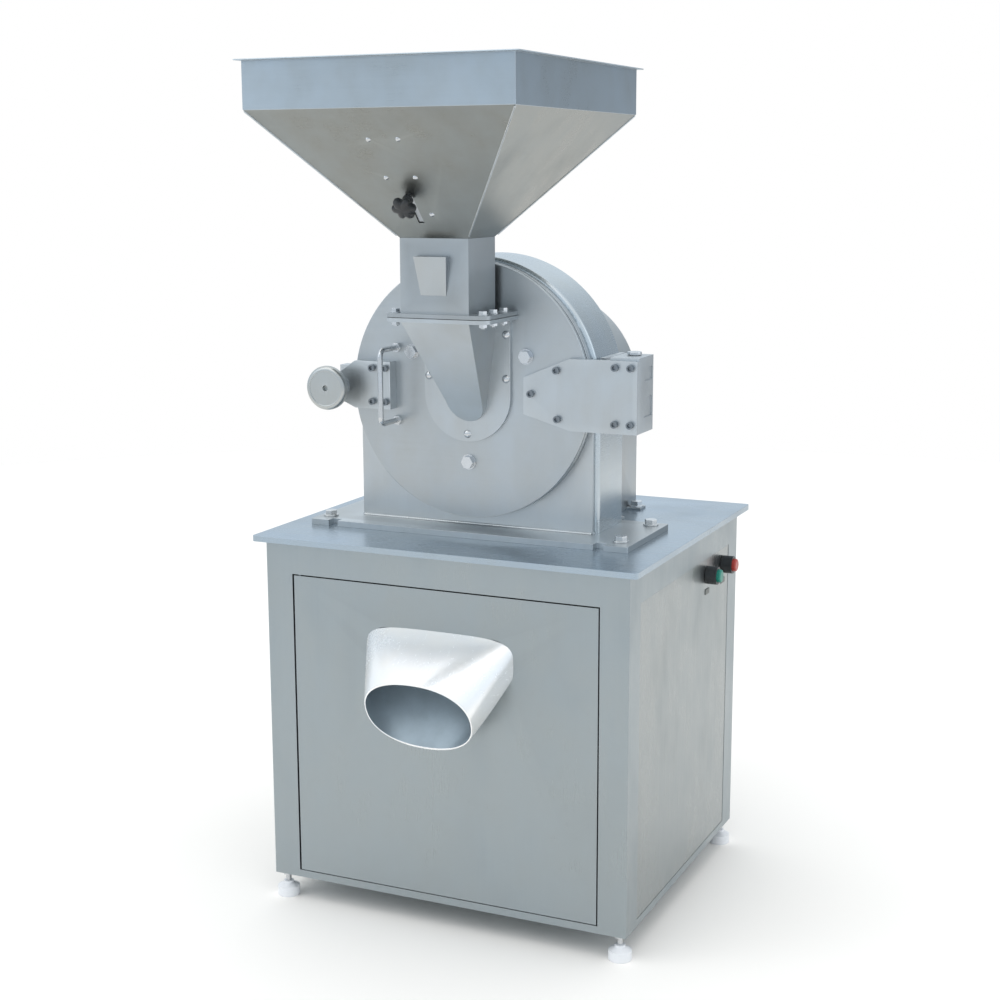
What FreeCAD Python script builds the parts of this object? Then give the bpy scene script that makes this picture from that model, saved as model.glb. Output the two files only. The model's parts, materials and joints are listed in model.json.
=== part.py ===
import FreeCAD, Part
import math
import os

# Hammer mill on a sheet-steel cabinet, in millimetres.
# The shapes are drawn about the middle of the cabinet: x to the right, y to the rear, z up from the
# floor. save_node moves each one so that the origin ends at the bottom centre of the whole box.

V = FreeCAD.Vector

# ---- cabinet and table -------------------------------------------------------------------------
TABLE_W, TABLE_D, TABLE_T = 700.0, 612.0, 10.0
TABLE_Z = 660.0                      # top face of the table
CABINET_W, CABINET_D = 664.0, 576.0
CABINET_Z = 44.0                     # underside of the cabinet
POST = 50.0                          # width of a corner post
SHEET = 2.0                          # panel thickness
ANGLE_T = 3.0                        # post and rail thickness
TOP_RAIL_Z = 595.0                   # underside of the top rail
BOTTOM_RAIL_Z = 57.0                 # top of the bottom rail
DOOR_GAP = 2.0
FRONT_Y = -CABINET_D / 2

# ---- milling head ------------------------------------------------------------------------------
AXIS_X = -20.0                       # rotor axis, along y
AXIS_Z = TABLE_Z + 246.0
BASE_T = 10.0
BASE_Z = TABLE_Z + BASE_T            # what the casing stands on
FRONT_PLATE_R = 219.0
FRONT_PLATE_Y = (-110.0, -101.0)
DRUM_R = 226.0
DRUM_Y = (-101.0, 10.0)
DRUM_WALL = 6.0
DRUM_FRONT_T = 15.0                  # thick front wall that the front plate is bolted to
DRUM_SHOULDER_R = 8.0
BACK_WALL = 10.0
THROAT_R = 206.0                     # inner radius of the casing's mouth
MOUTH_R = 186.0                      # round opening that the door closes
DOOR_R = 220.0
DOOR_Y = (-131.0, -111.0)
HINGE_X, HINGE_Y = 262.0, -88.0
HINGE_PIN_R = 8.0
CLAMP_X, CLAMP_Z = -262.0, TABLE_Z + 245.0
CLAMP_TRAVEL = 24.0
RUN_FIT = 0.05                       # radial clearance of a running fit

# ---- rotor -------------------------------------------------------------------------------------
SPINDLE_R = 20.0
SPINDLE_NOSE_R = 16.0
ROTOR_R = 118.0
HUB_R = 30.0
PIN_CIRCLE_R = 95.0
PIN_R = 7.0
HAMMER_REACH = 60.0                  # pin centre to hammer tip
HAMMER_W, HAMMER_T = 26.0, 8.0
HAMMER_FRONT_Y = -78.0               # front face of the foremost hammer
HAMMER_PITCH = 12.0
SCREEN_R = 164.0
SCREEN_Y = (-98.0, 0.0)

# ---- drive -------------------------------------------------------------------------------------
MOTOR_Z = 215.0
MILL_PULLEY_R = 60.0
MOTOR_PULLEY_R = 76.0
PULLEY_Y = (158.0, 206.0)
GROOVE_DEPTH = 13.0
GROOVE_W = 12.0
BELT_W, BELT_T = 11.0, 10.0
BELT_PITCH = 15.0
BELT_COUNT = 3
MOTOR_SHAFT_R = 19.0
GUARD_HALF_W = 177.0
GUARD_Y = (30.0, 219.0)
GUARD_TOP_Z = TABLE_Z + 390.0
GUARD_CORNER_R = 170.0
GUARD_TAB_T = 4.0
PEDESTAL_T = 14.0

# ---- feed side ---------------------------------------------------------------------------------
FLANGE_Z = TABLE_Z + 369.0           # underside of the flange pair
FLANGE_T = 6.5
NECK_BASE_Z = FLANGE_Z + 2 * FLANGE_T + 1.0
NECK_X = (-87.5, 36.0)
NECK_Y = (-246.0, -144.0)
NECK_TOP_Z = TABLE_Z + 505.0
HOPPER_X = (-255.0, 205.0)
HOPPER_Y = (-440.0, 63.0)
HOPPER_BAND_Z = TABLE_Z + 704.0      # foot of the upright band
HOPPER_TOP_Z = TABLE_Z + 780.0
HOPPER_LIP = 9.0
GATE_X = -35.0
GATE_Z = TABLE_Z + 572.0             # height of the knob's stud where it leaves the hopper
SPOUT_ROOT = (-2.5, TABLE_Z - 180.0)
SPOUT_ROOT_W, SPOUT_ROOT_H = 271.0, 88.0
SPOUT_MOUTH = V(0.0, -372.5, TABLE_Z - 258.0)
SPOUT_MOUTH_W, SPOUT_MOUTH_H = 193.0, 137.0
SPOUT_TILT = 23.6                    # lean of the mouth's plane from upright, in degrees
SPOUT_WALL = 3.0

# ---- buttons -----------------------------------------------------------------------------------
START_Y, STOP_Y = 112.0, 205.0
BUTTON_Z = TABLE_Z - 95.0
BUTTON_REACH = 27.0
SLEEVE_L = 20.0
SIDE_X = CABINET_W / 2

# ---- origin of the part: bottom centre of its whole box ----------------------------------------
ORIGIN = V((SIDE_X + BUTTON_REACH - TABLE_W / 2) / 2,
           (TABLE_D / 2 + HOPPER_Y[0] - HOPPER_LIP) / 2, 0.0)


# ================================================================================================
# drawing helpers
# ================================================================================================

def box(x0, x1, y0, y1, z0, z1):
    return Part.makeBox(x1 - x0, y1 - y0, z1 - z0, V(x0, y0, z0))


def rod_x(r, x0, x1, y, z):
    return Part.makeCylinder(r, x1 - x0, V(x0, y, z), V(1, 0, 0))


def rod_y(r, y0, y1, x=AXIS_X, z=AXIS_Z):
    return Part.makeCylinder(r, y1 - y0, V(x, y0, z), V(0, 1, 0))


def rod_z(r, z0, z1, x, y):
    return Part.makeCylinder(r, z1 - z0, V(x, y, z0), V(0, 0, 1))


def tube_y(r_out, r_in, y0, y1, x=AXIS_X, z=AXIS_Z):
    return rod_y(r_out, y0, y1, x, z).cut(rod_y(r_in, y0 - 1, y1 + 1, x, z))


def fuse(shapes):
    body = shapes[0]
    for shape in shapes[1:]:
        body = body.fuse(shape)
    return body.removeSplitter()


def cut(body, tools):
    for tool in tools:
        body = body.cut(tool)
    return body


def group(shapes):
    return Part.makeCompound(shapes)


def line(a, b):
    return Part.LineSegment(a, b).toShape()


def arc(a, mid, b):
    return Part.Arc(a, mid, b).toShape()


def polygon_face(points):
    return Part.Face(Part.makePolygon(points + [points[0]]))


def prism_y(points, y0, y1):
    """Solid between two upright planes from an outline of (x, z) points."""
    face = polygon_face([V(x, y0, z) for x, z in points])
    return face.extrude(V(0, y1 - y0, 0))


def prism_x(points, x0, x1):
    """Solid between x0 and x1 from an outline of (y, z) points."""
    face = polygon_face([V(x0, y, z) for y, z in points])
    return face.extrude(V(x1 - x0, 0, 0))


def prism_z(points, z0, z1):
    """Solid between z0 and z1 from an outline of (x, y) points."""
    face = polygon_face([V(x, y, z0) for x, y in points])
    return face.extrude(V(0, 0, z1 - z0))


def arch(r, y0, y1, foot_z, x=AXIS_X, z=AXIS_Z):
    """Half round above the rotor axis, straight down to foot_z."""
    edges = [line(V(x - r, y0, foot_z), V(x - r, y0, z)),
             arc(V(x - r, y0, z), V(x, y0, z + r), V(x + r, y0, z)),
             line(V(x + r, y0, z), V(x + r, y0, foot_z)),
             line(V(x + r, y0, foot_z), V(x - r, y0, foot_z))]
    return Part.Face(Part.Wire(edges)).extrude(V(0, y1 - y0, 0))


def rounded_plate_z(x0, x1, y0, y1, z0, z1, r):
    """Flat plate with its four upright corners rounded."""
    plate = box(x0, x1, y0, y1, z0, z1)
    upright = [e for e in plate.Edges if abs(e.Vertexes[0].Z - e.Vertexes[1].Z) > 0.5 * (z1 - z0)]
    return plate.makeFillet(r, upright)


def rounded_arch(half_w, top_z, r, y0, y1, foot_z):
    """Upright cover outline: straight sides, flat top and two rounded top corners."""
    x0, x1 = AXIS_X - half_w, AXIS_X + half_w
    k = r * (1 - math.sqrt(0.5))
    edges = [line(V(x0, y0, foot_z), V(x0, y0, top_z - r)),
             arc(V(x0, y0, top_z - r), V(x0 + k, y0, top_z - k), V(x0 + r, y0, top_z)),
             line(V(x0 + r, y0, top_z), V(x1 - r, y0, top_z)),
             arc(V(x1 - r, y0, top_z), V(x1 - k, y0, top_z - k), V(x1, y0, top_z - r)),
             line(V(x1, y0, top_z - r), V(x1, y0, foot_z)),
             line(V(x1, y0, foot_z), V(x0, y0, foot_z))]
    return Part.Face(Part.Wire(edges)).extrude(V(0, y1 - y0, 0))


def hexagon(across_flats, height, centre, direction):
    """Hexagonal prism standing on centre along direction."""
    r = across_flats / math.sqrt(3)
    points = [V(r * math.cos(math.radians(60 * i)), r * math.sin(math.radians(60 * i)), 0) for i in range(6)]
    solid = polygon_face(points).extrude(V(0, 0, height))
    solid.Placement = FreeCAD.Placement(centre, FreeCAD.Rotation(V(0, 0, 1), direction))
    return solid


def hex_bolt(size, shank, seat, direction, washer=0.0):
    """Hex bolt: seat is under the head (or washer), direction points out of the head."""
    back = V(direction).multiply(-1)
    foot = seat + V(direction).multiply(washer)
    parts = [hexagon(1.6 * size, 0.65 * size, foot, direction),
             Part.makeCylinder(size / 2, shank + washer, foot, back)]
    if washer > 0:
        parts.append(Part.makeCylinder(1.1 * size, washer, seat, direction))
    return fuse(parts)


def cap_screw(size, shank, seat, direction):
    """Socket head cap screw with its hexagon socket."""
    head = Part.makeCylinder(0.75 * size, 0.8 * size, seat, direction)
    socket = hexagon(0.8 * size, 0.6 * size, seat + V(direction).multiply(0.35 * size), direction)
    shank_rod = Part.makeCylinder(size / 2, shank, seat, V(direction).multiply(-1))
    return fuse([head.cut(socket), shank_rod])


def dome_screw(size, shank, seat, direction):
    """Button head screw: a low dome on a plain shank."""
    r = 0.9 * size
    rise = 0.55 * size
    ball_r = (r * r + rise * rise) / (2 * rise)
    centre = seat + V(direction).multiply(rise - ball_r)
    dome = Part.makeSphere(ball_r, centre)
    dome = dome.common(Part.makeCylinder(r, rise + 1, seat, direction))
    shank_rod = Part.makeCylinder(size / 2, shank, seat, V(direction).multiply(-1))
    return fuse([dome, shank_rod])


def frustum(x_low, y_low, z_low, x_high, y_high, z_high):
    """Solid between two level rectangles."""
    def level(xs, ys, z):
        return Part.makePolygon([V(xs[0], ys[0], z), V(xs[1], ys[0], z), V(xs[1], ys[1], z),
                                 V(xs[0], ys[1], z), V(xs[0], ys[0], z)])
    return Part.makeLoft([level(x_low, y_low, z_low), level(x_high, y_high, z_high)], True, True)


def inset(span, d):
    return (span[0] + d, span[1] - d)


# ================================================================================================
# cabinet
# ================================================================================================

BOLT_SPOTS = [(-287.0, -143.0), (-287.0, 5.0), (262.0, -143.0), (262.0, 5.0)]
GUARD_SPOTS = [(AXIS_X + s * (GUARD_HALF_W + 14), y) for s in (-1, 1) for y in (72.0, 183.0)]
PEDESTAL_SPOTS = [(AXIS_X + s * 72.0, y) for s in (-1, 1) for y in (52.0, 118.0)]
BOLT_HOLE_R = 6.5
DISCHARGE_X = (-120.0, 80.0)
DISCHARGE_Y = (-84.0, -8.0)
BELT_SLOT_X = (AXIS_X - 95, AXIS_X + 95)
BELT_SLOT_Y = (150.0, 213.0)


def table_top():
    plate = rounded_plate_z(-TABLE_W / 2, TABLE_W / 2, -TABLE_D / 2, TABLE_D / 2,
                            TABLE_Z - TABLE_T, TABLE_Z, 6.0)
    z0, z1 = TABLE_Z - TABLE_T - 1, TABLE_Z + 1
    plate = cut(plate, [box(*DISCHARGE_X, *DISCHARGE_Y, z0, z1), box(*BELT_SLOT_X, *BELT_SLOT_Y, z0, z1)])
    holes = [rod_z(BOLT_HOLE_R, z0, z1, x, y) for x, y in BOLT_SPOTS + GUARD_SPOTS + PEDESTAL_SPOTS]
    return cut(plate, holes)


def angle_post(sx, sy):
    """Corner post: an angle whose outer faces are the cabinet's outer faces."""
    x, y = sx * CABINET_W / 2, sy * CABINET_D / 2
    points = [(x, y), (x - sx * POST, y), (x - sx * POST, y - sy * ANGLE_T),
              (x - sx * ANGLE_T, y - sy * ANGLE_T), (x - sx * ANGLE_T, y - sy * POST), (x, y - sy * POST)]
    return prism_z(points, CABINET_Z, TABLE_Z - TABLE_T)


def cabinet_frame():
    """Four posts, rails between them, a foot plate in each corner and the floor sheet."""
    parts = []
    hx, hy = CABINET_W / 2, CABINET_D / 2
    foot_plate_t = 6.0
    for sx in (-1, 1):
        for sy in (-1, 1):
            x_pair = sorted((sx * (hx - ANGLE_T), sx * (hx - POST)))
            y_pair = sorted((sy * (hy - ANGLE_T), sy * (hy - POST)))
            corner = box(*x_pair, *y_pair, CABINET_Z, CABINET_Z + foot_plate_t)
            stem_hole = rod_z(6.0, CABINET_Z - 1, CABINET_Z + 10, sx * FOOT_X, sy * FOOT_Y)
            parts.append(fuse([angle_post(sx, sy), corner.cut(stem_hole)]))
    rails = ((TOP_RAIL_Z, TABLE_Z - TABLE_T), (CABINET_Z, BOTTOM_RAIL_Z))
    for z0, z1 in rails:
        for s in (-1, 1):
            y_out, y_in = s * hy, s * (hy - ANGLE_T)
            parts.append(box(-hx + POST, hx - POST, *sorted((y_out, y_in)), z0, z1))
            x_out, x_in = s * hx, s * (hx - ANGLE_T)
            parts.append(box(*sorted((x_out, x_in)), -hy + POST, hy - POST, z0, z1))
    floor = fuse([box(-hx + POST, hx - POST, -hy + ANGLE_T, hy - ANGLE_T, CABINET_Z, CABINET_Z + SHEET),
                  box(-hx + ANGLE_T, hx - ANGLE_T, -hy + POST, hy - POST, CABINET_Z, CABINET_Z + SHEET)])
    parts.append(floor)
    return group(parts)


def side_panels():
    """Left and right panels, set flush between the posts."""
    hx, hy = CABINET_W / 2, CABINET_D / 2
    panels = []
    for s in (-1, 1):
        panel = box(*sorted((s * (hx - 0.5), s * (hx - 0.5 - SHEET))), -hy + POST + 0.5, hy - POST - 0.5,
                    BOTTOM_RAIL_Z + 0.5, TOP_RAIL_Z - 0.5)
        panels.append(panel)
    holes = [rod_x(11.3, hx - 10, hx + 10, y, BUTTON_Z) for y in (START_Y, STOP_Y)]
    panels[1] = cut(panels[1], holes)
    return group(panels)


def rear_panel():
    """Back panel with rows of cooling slots for the motor and a hole for the cable gland."""
    hy = CABINET_D / 2
    half_w = CABINET_W / 2 - POST - 0.5
    panel = box(-half_w, half_w, hy - 0.5 - SHEET, hy - 0.5, BOTTOM_RAIL_Z + 0.5, TOP_RAIL_Z - 0.5)
    slots = []
    for row in range(8):
        z = 150.0 + 18.0 * row
        for x in (-120.0, 80.0):
            slots.append(box(x - 70, x + 70, hy - 10, hy + 10, z, z + 6))
    return cut(panel, slots + [rod_y(12.5, hy - 10, hy + 10, GLAND_X, GLAND_Z)])


GLAND_X, GLAND_Z = 210.0, 110.0
FOOT_X, FOOT_Y = 316.0, 272.0
FOOT_SPOTS = [(sx * FOOT_X, sy * FOOT_Y) for sx in (-1, 1) for sy in (-1, 1)]
FOOT_PAD_R = 19.5
FOOT_PAD_H = 26.0


def foot_pad(x, y):
    """Levelling foot: a puck, a cone and a neck that takes the stem."""
    puck_h, neck_z, neck_r = 17.0, 22.0, 9.0
    puck = rod_z(FOOT_PAD_R, 0.0, puck_h, x, y)
    cone = Part.makeCone(FOOT_PAD_R - 2, neck_r, neck_z - puck_h, V(x, y, puck_h))
    neck = rod_z(neck_r, neck_z, FOOT_PAD_H, x, y)
    return fuse([puck, cone, neck])


def foot_stem(x, y):
    """Threaded stem with its lock nut under the corner plate and a nut above it."""
    stem = rod_z(5.0, FOOT_PAD_H, 72.0, x, y)
    lock_nut = hexagon(17.0, 6.0, V(x, y, CABINET_Z - 6.0), V(0, 0, 1))
    top_nut = hexagon(17.0, 8.0, V(x, y, CABINET_Z + 6.0), V(0, 0, 1))
    return fuse([stem, lock_nut, top_nut])


# ---- cabinet door and spout --------------------------------------------------------------------

CAB_DOOR_X = (-CABINET_W / 2 + POST + 2 * DOOR_GAP, CABINET_W / 2 - POST - DOOR_GAP)
CAB_DOOR_Z = (BOTTOM_RAIL_Z + DOOR_GAP, TOP_RAIL_Z - DOOR_GAP)
CAB_DOOR_FOLD = 20.0
CAB_PIVOT_X = CAB_DOOR_X[0] + 8.0
CAB_PIVOT_Y = FRONT_Y + 7.0
CAB_PIVOT_R = 4.0


def spout_opening(y0, y1, shrink):
    """Rounded opening behind the spout's root."""
    w, h = SPOUT_ROOT_W / 2 - shrink, SPOUT_ROOT_H / 2 - shrink
    cx, cz = SPOUT_ROOT
    plate = box(cx - w, cx + w, y0, y1, cz - h, cz + h)
    along = [e for e in plate.Edges if abs(e.Vertexes[0].Y - e.Vertexes[1].Y) > 0.5 * (y1 - y0)]
    return plate.makeFillet(38.0 - shrink, along)


def cabinet_door():
    """Folded tray door with a pivot boss in its two left corners."""
    y0, y1 = FRONT_Y - 1.0, FRONT_Y - 1.0 + CAB_DOOR_FOLD
    tray = box(*CAB_DOOR_X, y0, y1, *CAB_DOOR_Z)
    tray = tray.cut(box(*inset(CAB_DOOR_X, SHEET), y0 + SHEET, y1 + 1, *inset(CAB_DOOR_Z, SHEET)))
    bosses = []
    for z0 in (CAB_DOOR_Z[0], CAB_DOOR_Z[1] - 20.0):
        bosses.append(box(CAB_DOOR_X[0], CAB_DOOR_X[0] + 16, y0, y0 + 16, z0, z0 + 20))
    body = fuse([tray] + bosses)
    pin_depth = 16.0
    spans = ((CAB_DOOR_Z[0] - 1, CAB_DOOR_Z[0] + pin_depth), (CAB_DOOR_Z[1] - pin_depth, CAB_DOOR_Z[1] + 1))
    pin_holes = [rod_z(CAB_PIVOT_R + RUN_FIT, z0, z1, CAB_PIVOT_X, CAB_PIVOT_Y) for z0, z1 in spans]
    return cut(body, [spout_opening(y0 - 1, y0 + 6, SPOUT_WALL)] + pin_holes)


def cabinet_pivots():
    """Pins in the two rails that the cabinet door turns on."""
    pins = []
    for z0, z1, lug_z in ((BOTTOM_RAIL_Z - 8, CAB_DOOR_Z[0] + 14, BOTTOM_RAIL_Z - 8),
                          (CAB_DOOR_Z[1] - 14, TOP_RAIL_Z + 8, TOP_RAIL_Z + 4)):
        pin = rod_z(CAB_PIVOT_R, z0, z1, CAB_PIVOT_X, CAB_PIVOT_Y)
        lug = box(CAB_PIVOT_X - 10, CAB_PIVOT_X + 10, FRONT_Y + ANGLE_T, CAB_PIVOT_Y + 10, lug_z, lug_z + 4)
        pins.append(fuse([pin, lug]))
    return group(pins)


def oval_section(centre, half_w, half_h, power, tilt):
    """Closed curve between a rounded rectangle and an ellipse, leaning back by tilt degrees."""
    count = 48
    points = []
    lean = math.radians(tilt)
    for i in range(count):
        a = 2 * math.pi * (i + 0.5) / count
        c, s = math.cos(a), math.sin(a)
        u = half_w * math.copysign(abs(c) ** (2 / power), c)
        v = half_h * math.copysign(abs(s) ** (2 / power), s)
        points.append(centre + V(u, -v * math.sin(lean), v * math.cos(lean)))
    curve = Part.BSplineCurve()
    curve.interpolate(points, PeriodicFlag=True)
    return Part.Wire(curve.toShape())


def spout_skin(wall, past):
    """Solid inside the spout's skin, wall mm in, running past its two ends by past mm."""
    root = V(SPOUT_ROOT[0], FRONT_Y - 1.0, SPOUT_ROOT[1])
    run = SPOUT_MOUTH - root
    wires = []
    steps = 4
    for i in range(steps + 1):
        t = i / steps
        stretch = t + (past / run.Length) * (2 * t - 1)
        half_w = (SPOUT_ROOT_W * (1 - t) + SPOUT_MOUTH_W * t) / 2 - wall
        half_h = (SPOUT_ROOT_H * (1 - t) + SPOUT_MOUTH_H * t) / 2 - wall
        power = 4.0 * (1 - t) + 2.2 * t
        wires.append(oval_section(root + V(run).multiply(stretch), half_w, half_h, power, SPOUT_TILT * t))
    return Part.makeLoft(wires, True, False)


def discharge_spout():
    return spout_skin(0.0, 0.0).cut(spout_skin(SPOUT_WALL, 2.0))


def discharge_duct():
    """Sheet chute from under the casing to just behind the cabinet door."""
    front = FRONT_Y + CAB_DOOR_FOLD + 2.0
    margin = 6.0
    low = SPOUT_ROOT[1] - SPOUT_ROOT_H / 2 - margin
    high = SPOUT_ROOT[1] + SPOUT_ROOT_H / 2 + margin
    half_w = SPOUT_ROOT_W / 2 + margin
    throat_y = inset(DISCHARGE_Y, -10.0)
    knee_z = TABLE_Z - 100.0
    outline = [(throat_y[0], TABLE_Z - TABLE_T), (throat_y[1], TABLE_Z - TABLE_T), (throat_y[1], knee_z),
               (front, low), (front, high), (throat_y[0], knee_z)]
    inner_y = inset(throat_y, SHEET)
    inner = [(inner_y[0], TABLE_Z), (inner_y[1], TABLE_Z), (inner_y[1], knee_z + SHEET),
             (front - 1, low + SHEET), (front - 1, high - SHEET), (inner_y[0], knee_z - SHEET)]
    x0, x1 = SPOUT_ROOT[0] - half_w, SPOUT_ROOT[0] + half_w
    return prism_x(outline, x0, x1).cut(prism_x(inner, x0 + SHEET, x1 - SHEET))


# ================================================================================================
# casing
# ================================================================================================

def base_plate():
    plate = rounded_plate_z(-307.0, 287.0, -180.0, 27.0, TABLE_Z, BASE_Z, 4.0)
    z0, z1 = TABLE_Z - 1, BASE_Z + 1
    notches = [box(x - 9, x + 9, -181.0, -163.0, z0, z1) for x in (-262.0, 236.0)]
    holes = [rod_z(BOLT_HOLE_R, z0, z1, x, y) for x, y in BOLT_SPOTS]
    return cut(plate, [box(*DISCHARGE_X, *DISCHARGE_Y, z0, z1)] + notches + holes)


def foot_bolts():
    """Bolts of the base plate, the guard and the bearing pedestal."""
    up = V(0, 0, 1)
    bolts = [hex_bolt(12.0, BASE_T + TABLE_T + 12, V(x, y, BASE_Z), up, 2.5) for x, y in BOLT_SPOTS]
    bolts += [hex_bolt(12.0, TABLE_T + 16, V(x, y, TABLE_Z + GUARD_TAB_T), up, 2.5) for x, y in GUARD_SPOTS]
    bolts += [hex_bolt(12.0, TABLE_T + 26, V(x, y, TABLE_Z + PEDESTAL_T), up, 2.5) for x, y in PEDESTAL_SPOTS]
    return group(bolts)


def casing_front_plate():
    plate = arch(FRONT_PLATE_R, *FRONT_PLATE_Y, BASE_Z)
    return plate.cut(rod_y(MOUTH_R, FRONT_PLATE_Y[0] - 1, FRONT_PLATE_Y[1] + 1))


def casing_drum():
    """Arched shell with its back wall and a round front shoulder against the front plate."""
    y0, y1 = DRUM_Y
    inner_r = DRUM_R - DRUM_WALL
    outer = arch(DRUM_R, y0, y1, BASE_Z)
    rim = [e for e in outer.Edges if on_plane_y(e, y0) and not on_plane_z(e, BASE_Z)]
    outer = outer.makeFillet(DRUM_SHOULDER_R, rim)
    shell = outer.cut(arch(inner_r, y0 + DRUM_FRONT_T, y1 - BACK_WALL, BASE_Z - 1))
    body = shell.cut(arch(THROAT_R, y0 - 1, y0 + DRUM_FRONT_T + 1, BASE_Z - 1))
    return body.cut(rod_y(SPINDLE_R + 1.5, y1 - BACK_WALL - 1, y1 + 1))


def on_plane_y(edge, y):
    return all(abs(v.Y - y) < 0.01 for v in edge.Vertexes)


def on_plane_z(edge, z):
    return all(abs(v.Z - z) < 0.01 for v in edge.Vertexes)


def clamp_lug():
    """Ear on the casing's left side that the clamp stud enters."""
    drum_side = AXIS_X - DRUM_R
    ear = box(CLAMP_X - 26, drum_side, -99.0, -74.0, CLAMP_Z - 30, CLAMP_Z + 30)
    gusset = prism_z([(drum_side, -74.0), (CLAMP_X - 20, -74.0), (drum_side, -30.0)],
                     CLAMP_Z - 6, CLAMP_Z + 6)
    return fuse([ear, gusset]).cut(rod_y(9.5, -105.0, -60.0, CLAMP_X, CLAMP_Z))


HINGE_LUG_Z = ((TABLE_Z + 213.0, TABLE_Z + 247.0), (TABLE_Z + 273.0, TABLE_Z + 295.0))
HINGE_BLOCK_X = (236.0, 286.0)
HINGE_BLOCK_Y = (DOOR_Y[0], -62.0)
HINGE_BLOCK_Z = (TABLE_Z + 188.0, TABLE_Z + 313.0)
HINGE_WEB_Y = -108.0                 # rear face of the block's solid front web
HINGE_SIDE_WALL = 5.0                # outer wall that closes the block's lug windows
HINGE_ARM_HALF_W = 12.0
HINGE_BOSS_R = 16.0


def hinge_bracket():
    """Plate on the casing's right side with two lugs that hold the hinge pin."""
    side = AXIS_X + DRUM_R
    plate = box(side, side + 10, HINGE_Y - HINGE_ARM_HALF_W, -8.0, TABLE_Z + 198.0, TABLE_Z + 308.0)
    parts = [plate]
    for z0, z1 in HINGE_LUG_Z:
        arm = box(side + 5, HINGE_X, HINGE_Y - HINGE_ARM_HALF_W, HINGE_Y + HINGE_ARM_HALF_W, z0, z1)
        parts += [arm, rod_z(HINGE_BOSS_R, z0, z1, HINGE_X, HINGE_Y)]
    return fuse(parts).cut(rod_z(HINGE_PIN_R, TABLE_Z + 100, TABLE_Z + 400, HINGE_X, HINGE_Y))


def hinge_pin():
    z0, z1 = HINGE_BLOCK_Z
    shank = rod_z(HINGE_PIN_R, z0 - 6, z1 + 1, HINGE_X, HINGE_Y)
    head = rod_z(HINGE_PIN_R + 4, z1 + 1, z1 + 6, HINGE_X, HINGE_Y)
    return fuse([shank, head])


def ring_screen():
    """Perforated ring round the rotor with a rim at each end."""
    y0, y1 = SCREEN_Y
    sheet_t = 2.0
    rim_r = SCREEN_R + 8
    skin = tube_y(SCREEN_R + sheet_t, SCREEN_R, y0, y1)
    rims = [tube_y(rim_r, SCREEN_R, y0, y0 + 4), tube_y(rim_r, SCREEN_R, y1 - 12, y1)]
    holes = []
    columns = 40
    for i in range(columns):
        a = 2 * math.pi * (i + 0.5) / columns
        direction = V(math.cos(a), 0, math.sin(a))
        for y in (-84.0, -66.0, -48.0, -30.0):
            start = V(AXIS_X, y, AXIS_Z) + V(direction).multiply(SCREEN_R - 5)
            holes.append(Part.makeCylinder(4.5, sheet_t + 10, start, direction))
    return fuse([skin] + rims).cut(Part.makeCompound(holes))


# ================================================================================================
# rotor
# ================================================================================================

def spindle():
    """Stepped shaft from the rotor nut to the pulley."""
    nose = rod_y(SPINDLE_NOSE_R, -72.0, -16.0)
    journal = rod_y(SPINDLE_R, -16.0, PULLEY_Y[0] - 4)
    tail = rod_y(SPINDLE_NOSE_R, PULLEY_Y[0] - 4, PULLEY_Y[1] + 2)
    nut = hexagon(44.0, 10.0, V(AXIS_X, -60.5, AXIS_Z), V(0, -1, 0))
    shaft = fuse([nose, journal, tail])
    return fuse([shaft, nut])


def rotor_pin_spots():
    return [(AXIS_X + PIN_CIRCLE_R * math.cos(math.radians(45 + 90 * i)),
             AXIS_Z + PIN_CIRCLE_R * math.sin(math.radians(45 + 90 * i))) for i in range(4)]


def rotor_disc():
    """Rear rotor plate with its hub."""
    body = fuse([rod_y(ROTOR_R, -32.0, -26.0), rod_y(HUB_R, -60.0, -16.0)])
    pin_holes = [rod_y(PIN_R, -40.0, -20.0, x, z) for x, z in rotor_pin_spots()]
    return cut(body, [rod_y(SPINDLE_NOSE_R, -70.0, -10.0)] + pin_holes)


def rotor_ring():
    """Front rotor plate: a ring that leaves the feed eye open, carried by the hammer pins."""
    ring = tube_y(ROTOR_R, 72.0, -88.0, -82.0)
    return cut(ring, [rod_y(PIN_R, -95.0, -75.0, x, z) for x, z in rotor_pin_spots()])


def hammer_slots(index):
    """Front faces of the two hammers on pin number index; neighbours are staggered."""
    first = HAMMER_FRONT_Y + HAMMER_PITCH * (index % 2)
    return [first, first + 2 * HAMMER_PITCH]


def hammer_pins():
    """Four pins through the rotor plates, each with a head and spacer sleeves between hammers."""
    pins = []
    side_gap = 0.5
    sleeve_r = PIN_R + 4
    for index, (x, z) in enumerate(rotor_pin_spots()):
        parts = [rod_y(PIN_R, -88.0, -22.0, x, z), rod_y(PIN_R + 3, -91.0, -88.0, x, z)]
        start = -82.0
        for y in hammer_slots(index):
            parts.append(rod_y(sleeve_r, start, y - side_gap, x, z))
            start = y + HAMMER_T + side_gap
        parts.append(rod_y(sleeve_r, start, -32.0, x, z))
        pins.append(fuse(parts))
    return group(pins)


def hammers(index):
    """The hammers of one pin, hanging straight down."""
    x, z = rotor_pin_spots()[index]
    half = HAMMER_W / 2
    blades = []
    for y in hammer_slots(index):
        blade = box(x - half, x + half, y, y + HAMMER_T, z - HAMMER_REACH, z)
        blade = fuse([blade, rod_y(half, y, y + HAMMER_T, x, z)])
        blades.append(blade.cut(rod_y(PIN_R + RUN_FIT, y - 1, y + HAMMER_T + 1, x, z)))
    return group(blades)


def grooved_pulley(r, bore, z):
    pulley = tube_y(r, bore, *PULLEY_Y, AXIS_X, z)
    cuts = []
    for y in belt_planes():
        cuts.append(tube_y(r + 1, r - GROOVE_DEPTH, y - GROOVE_W / 2, y + GROOVE_W / 2, AXIS_X, z))
    return cut(pulley, cuts)


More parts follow.
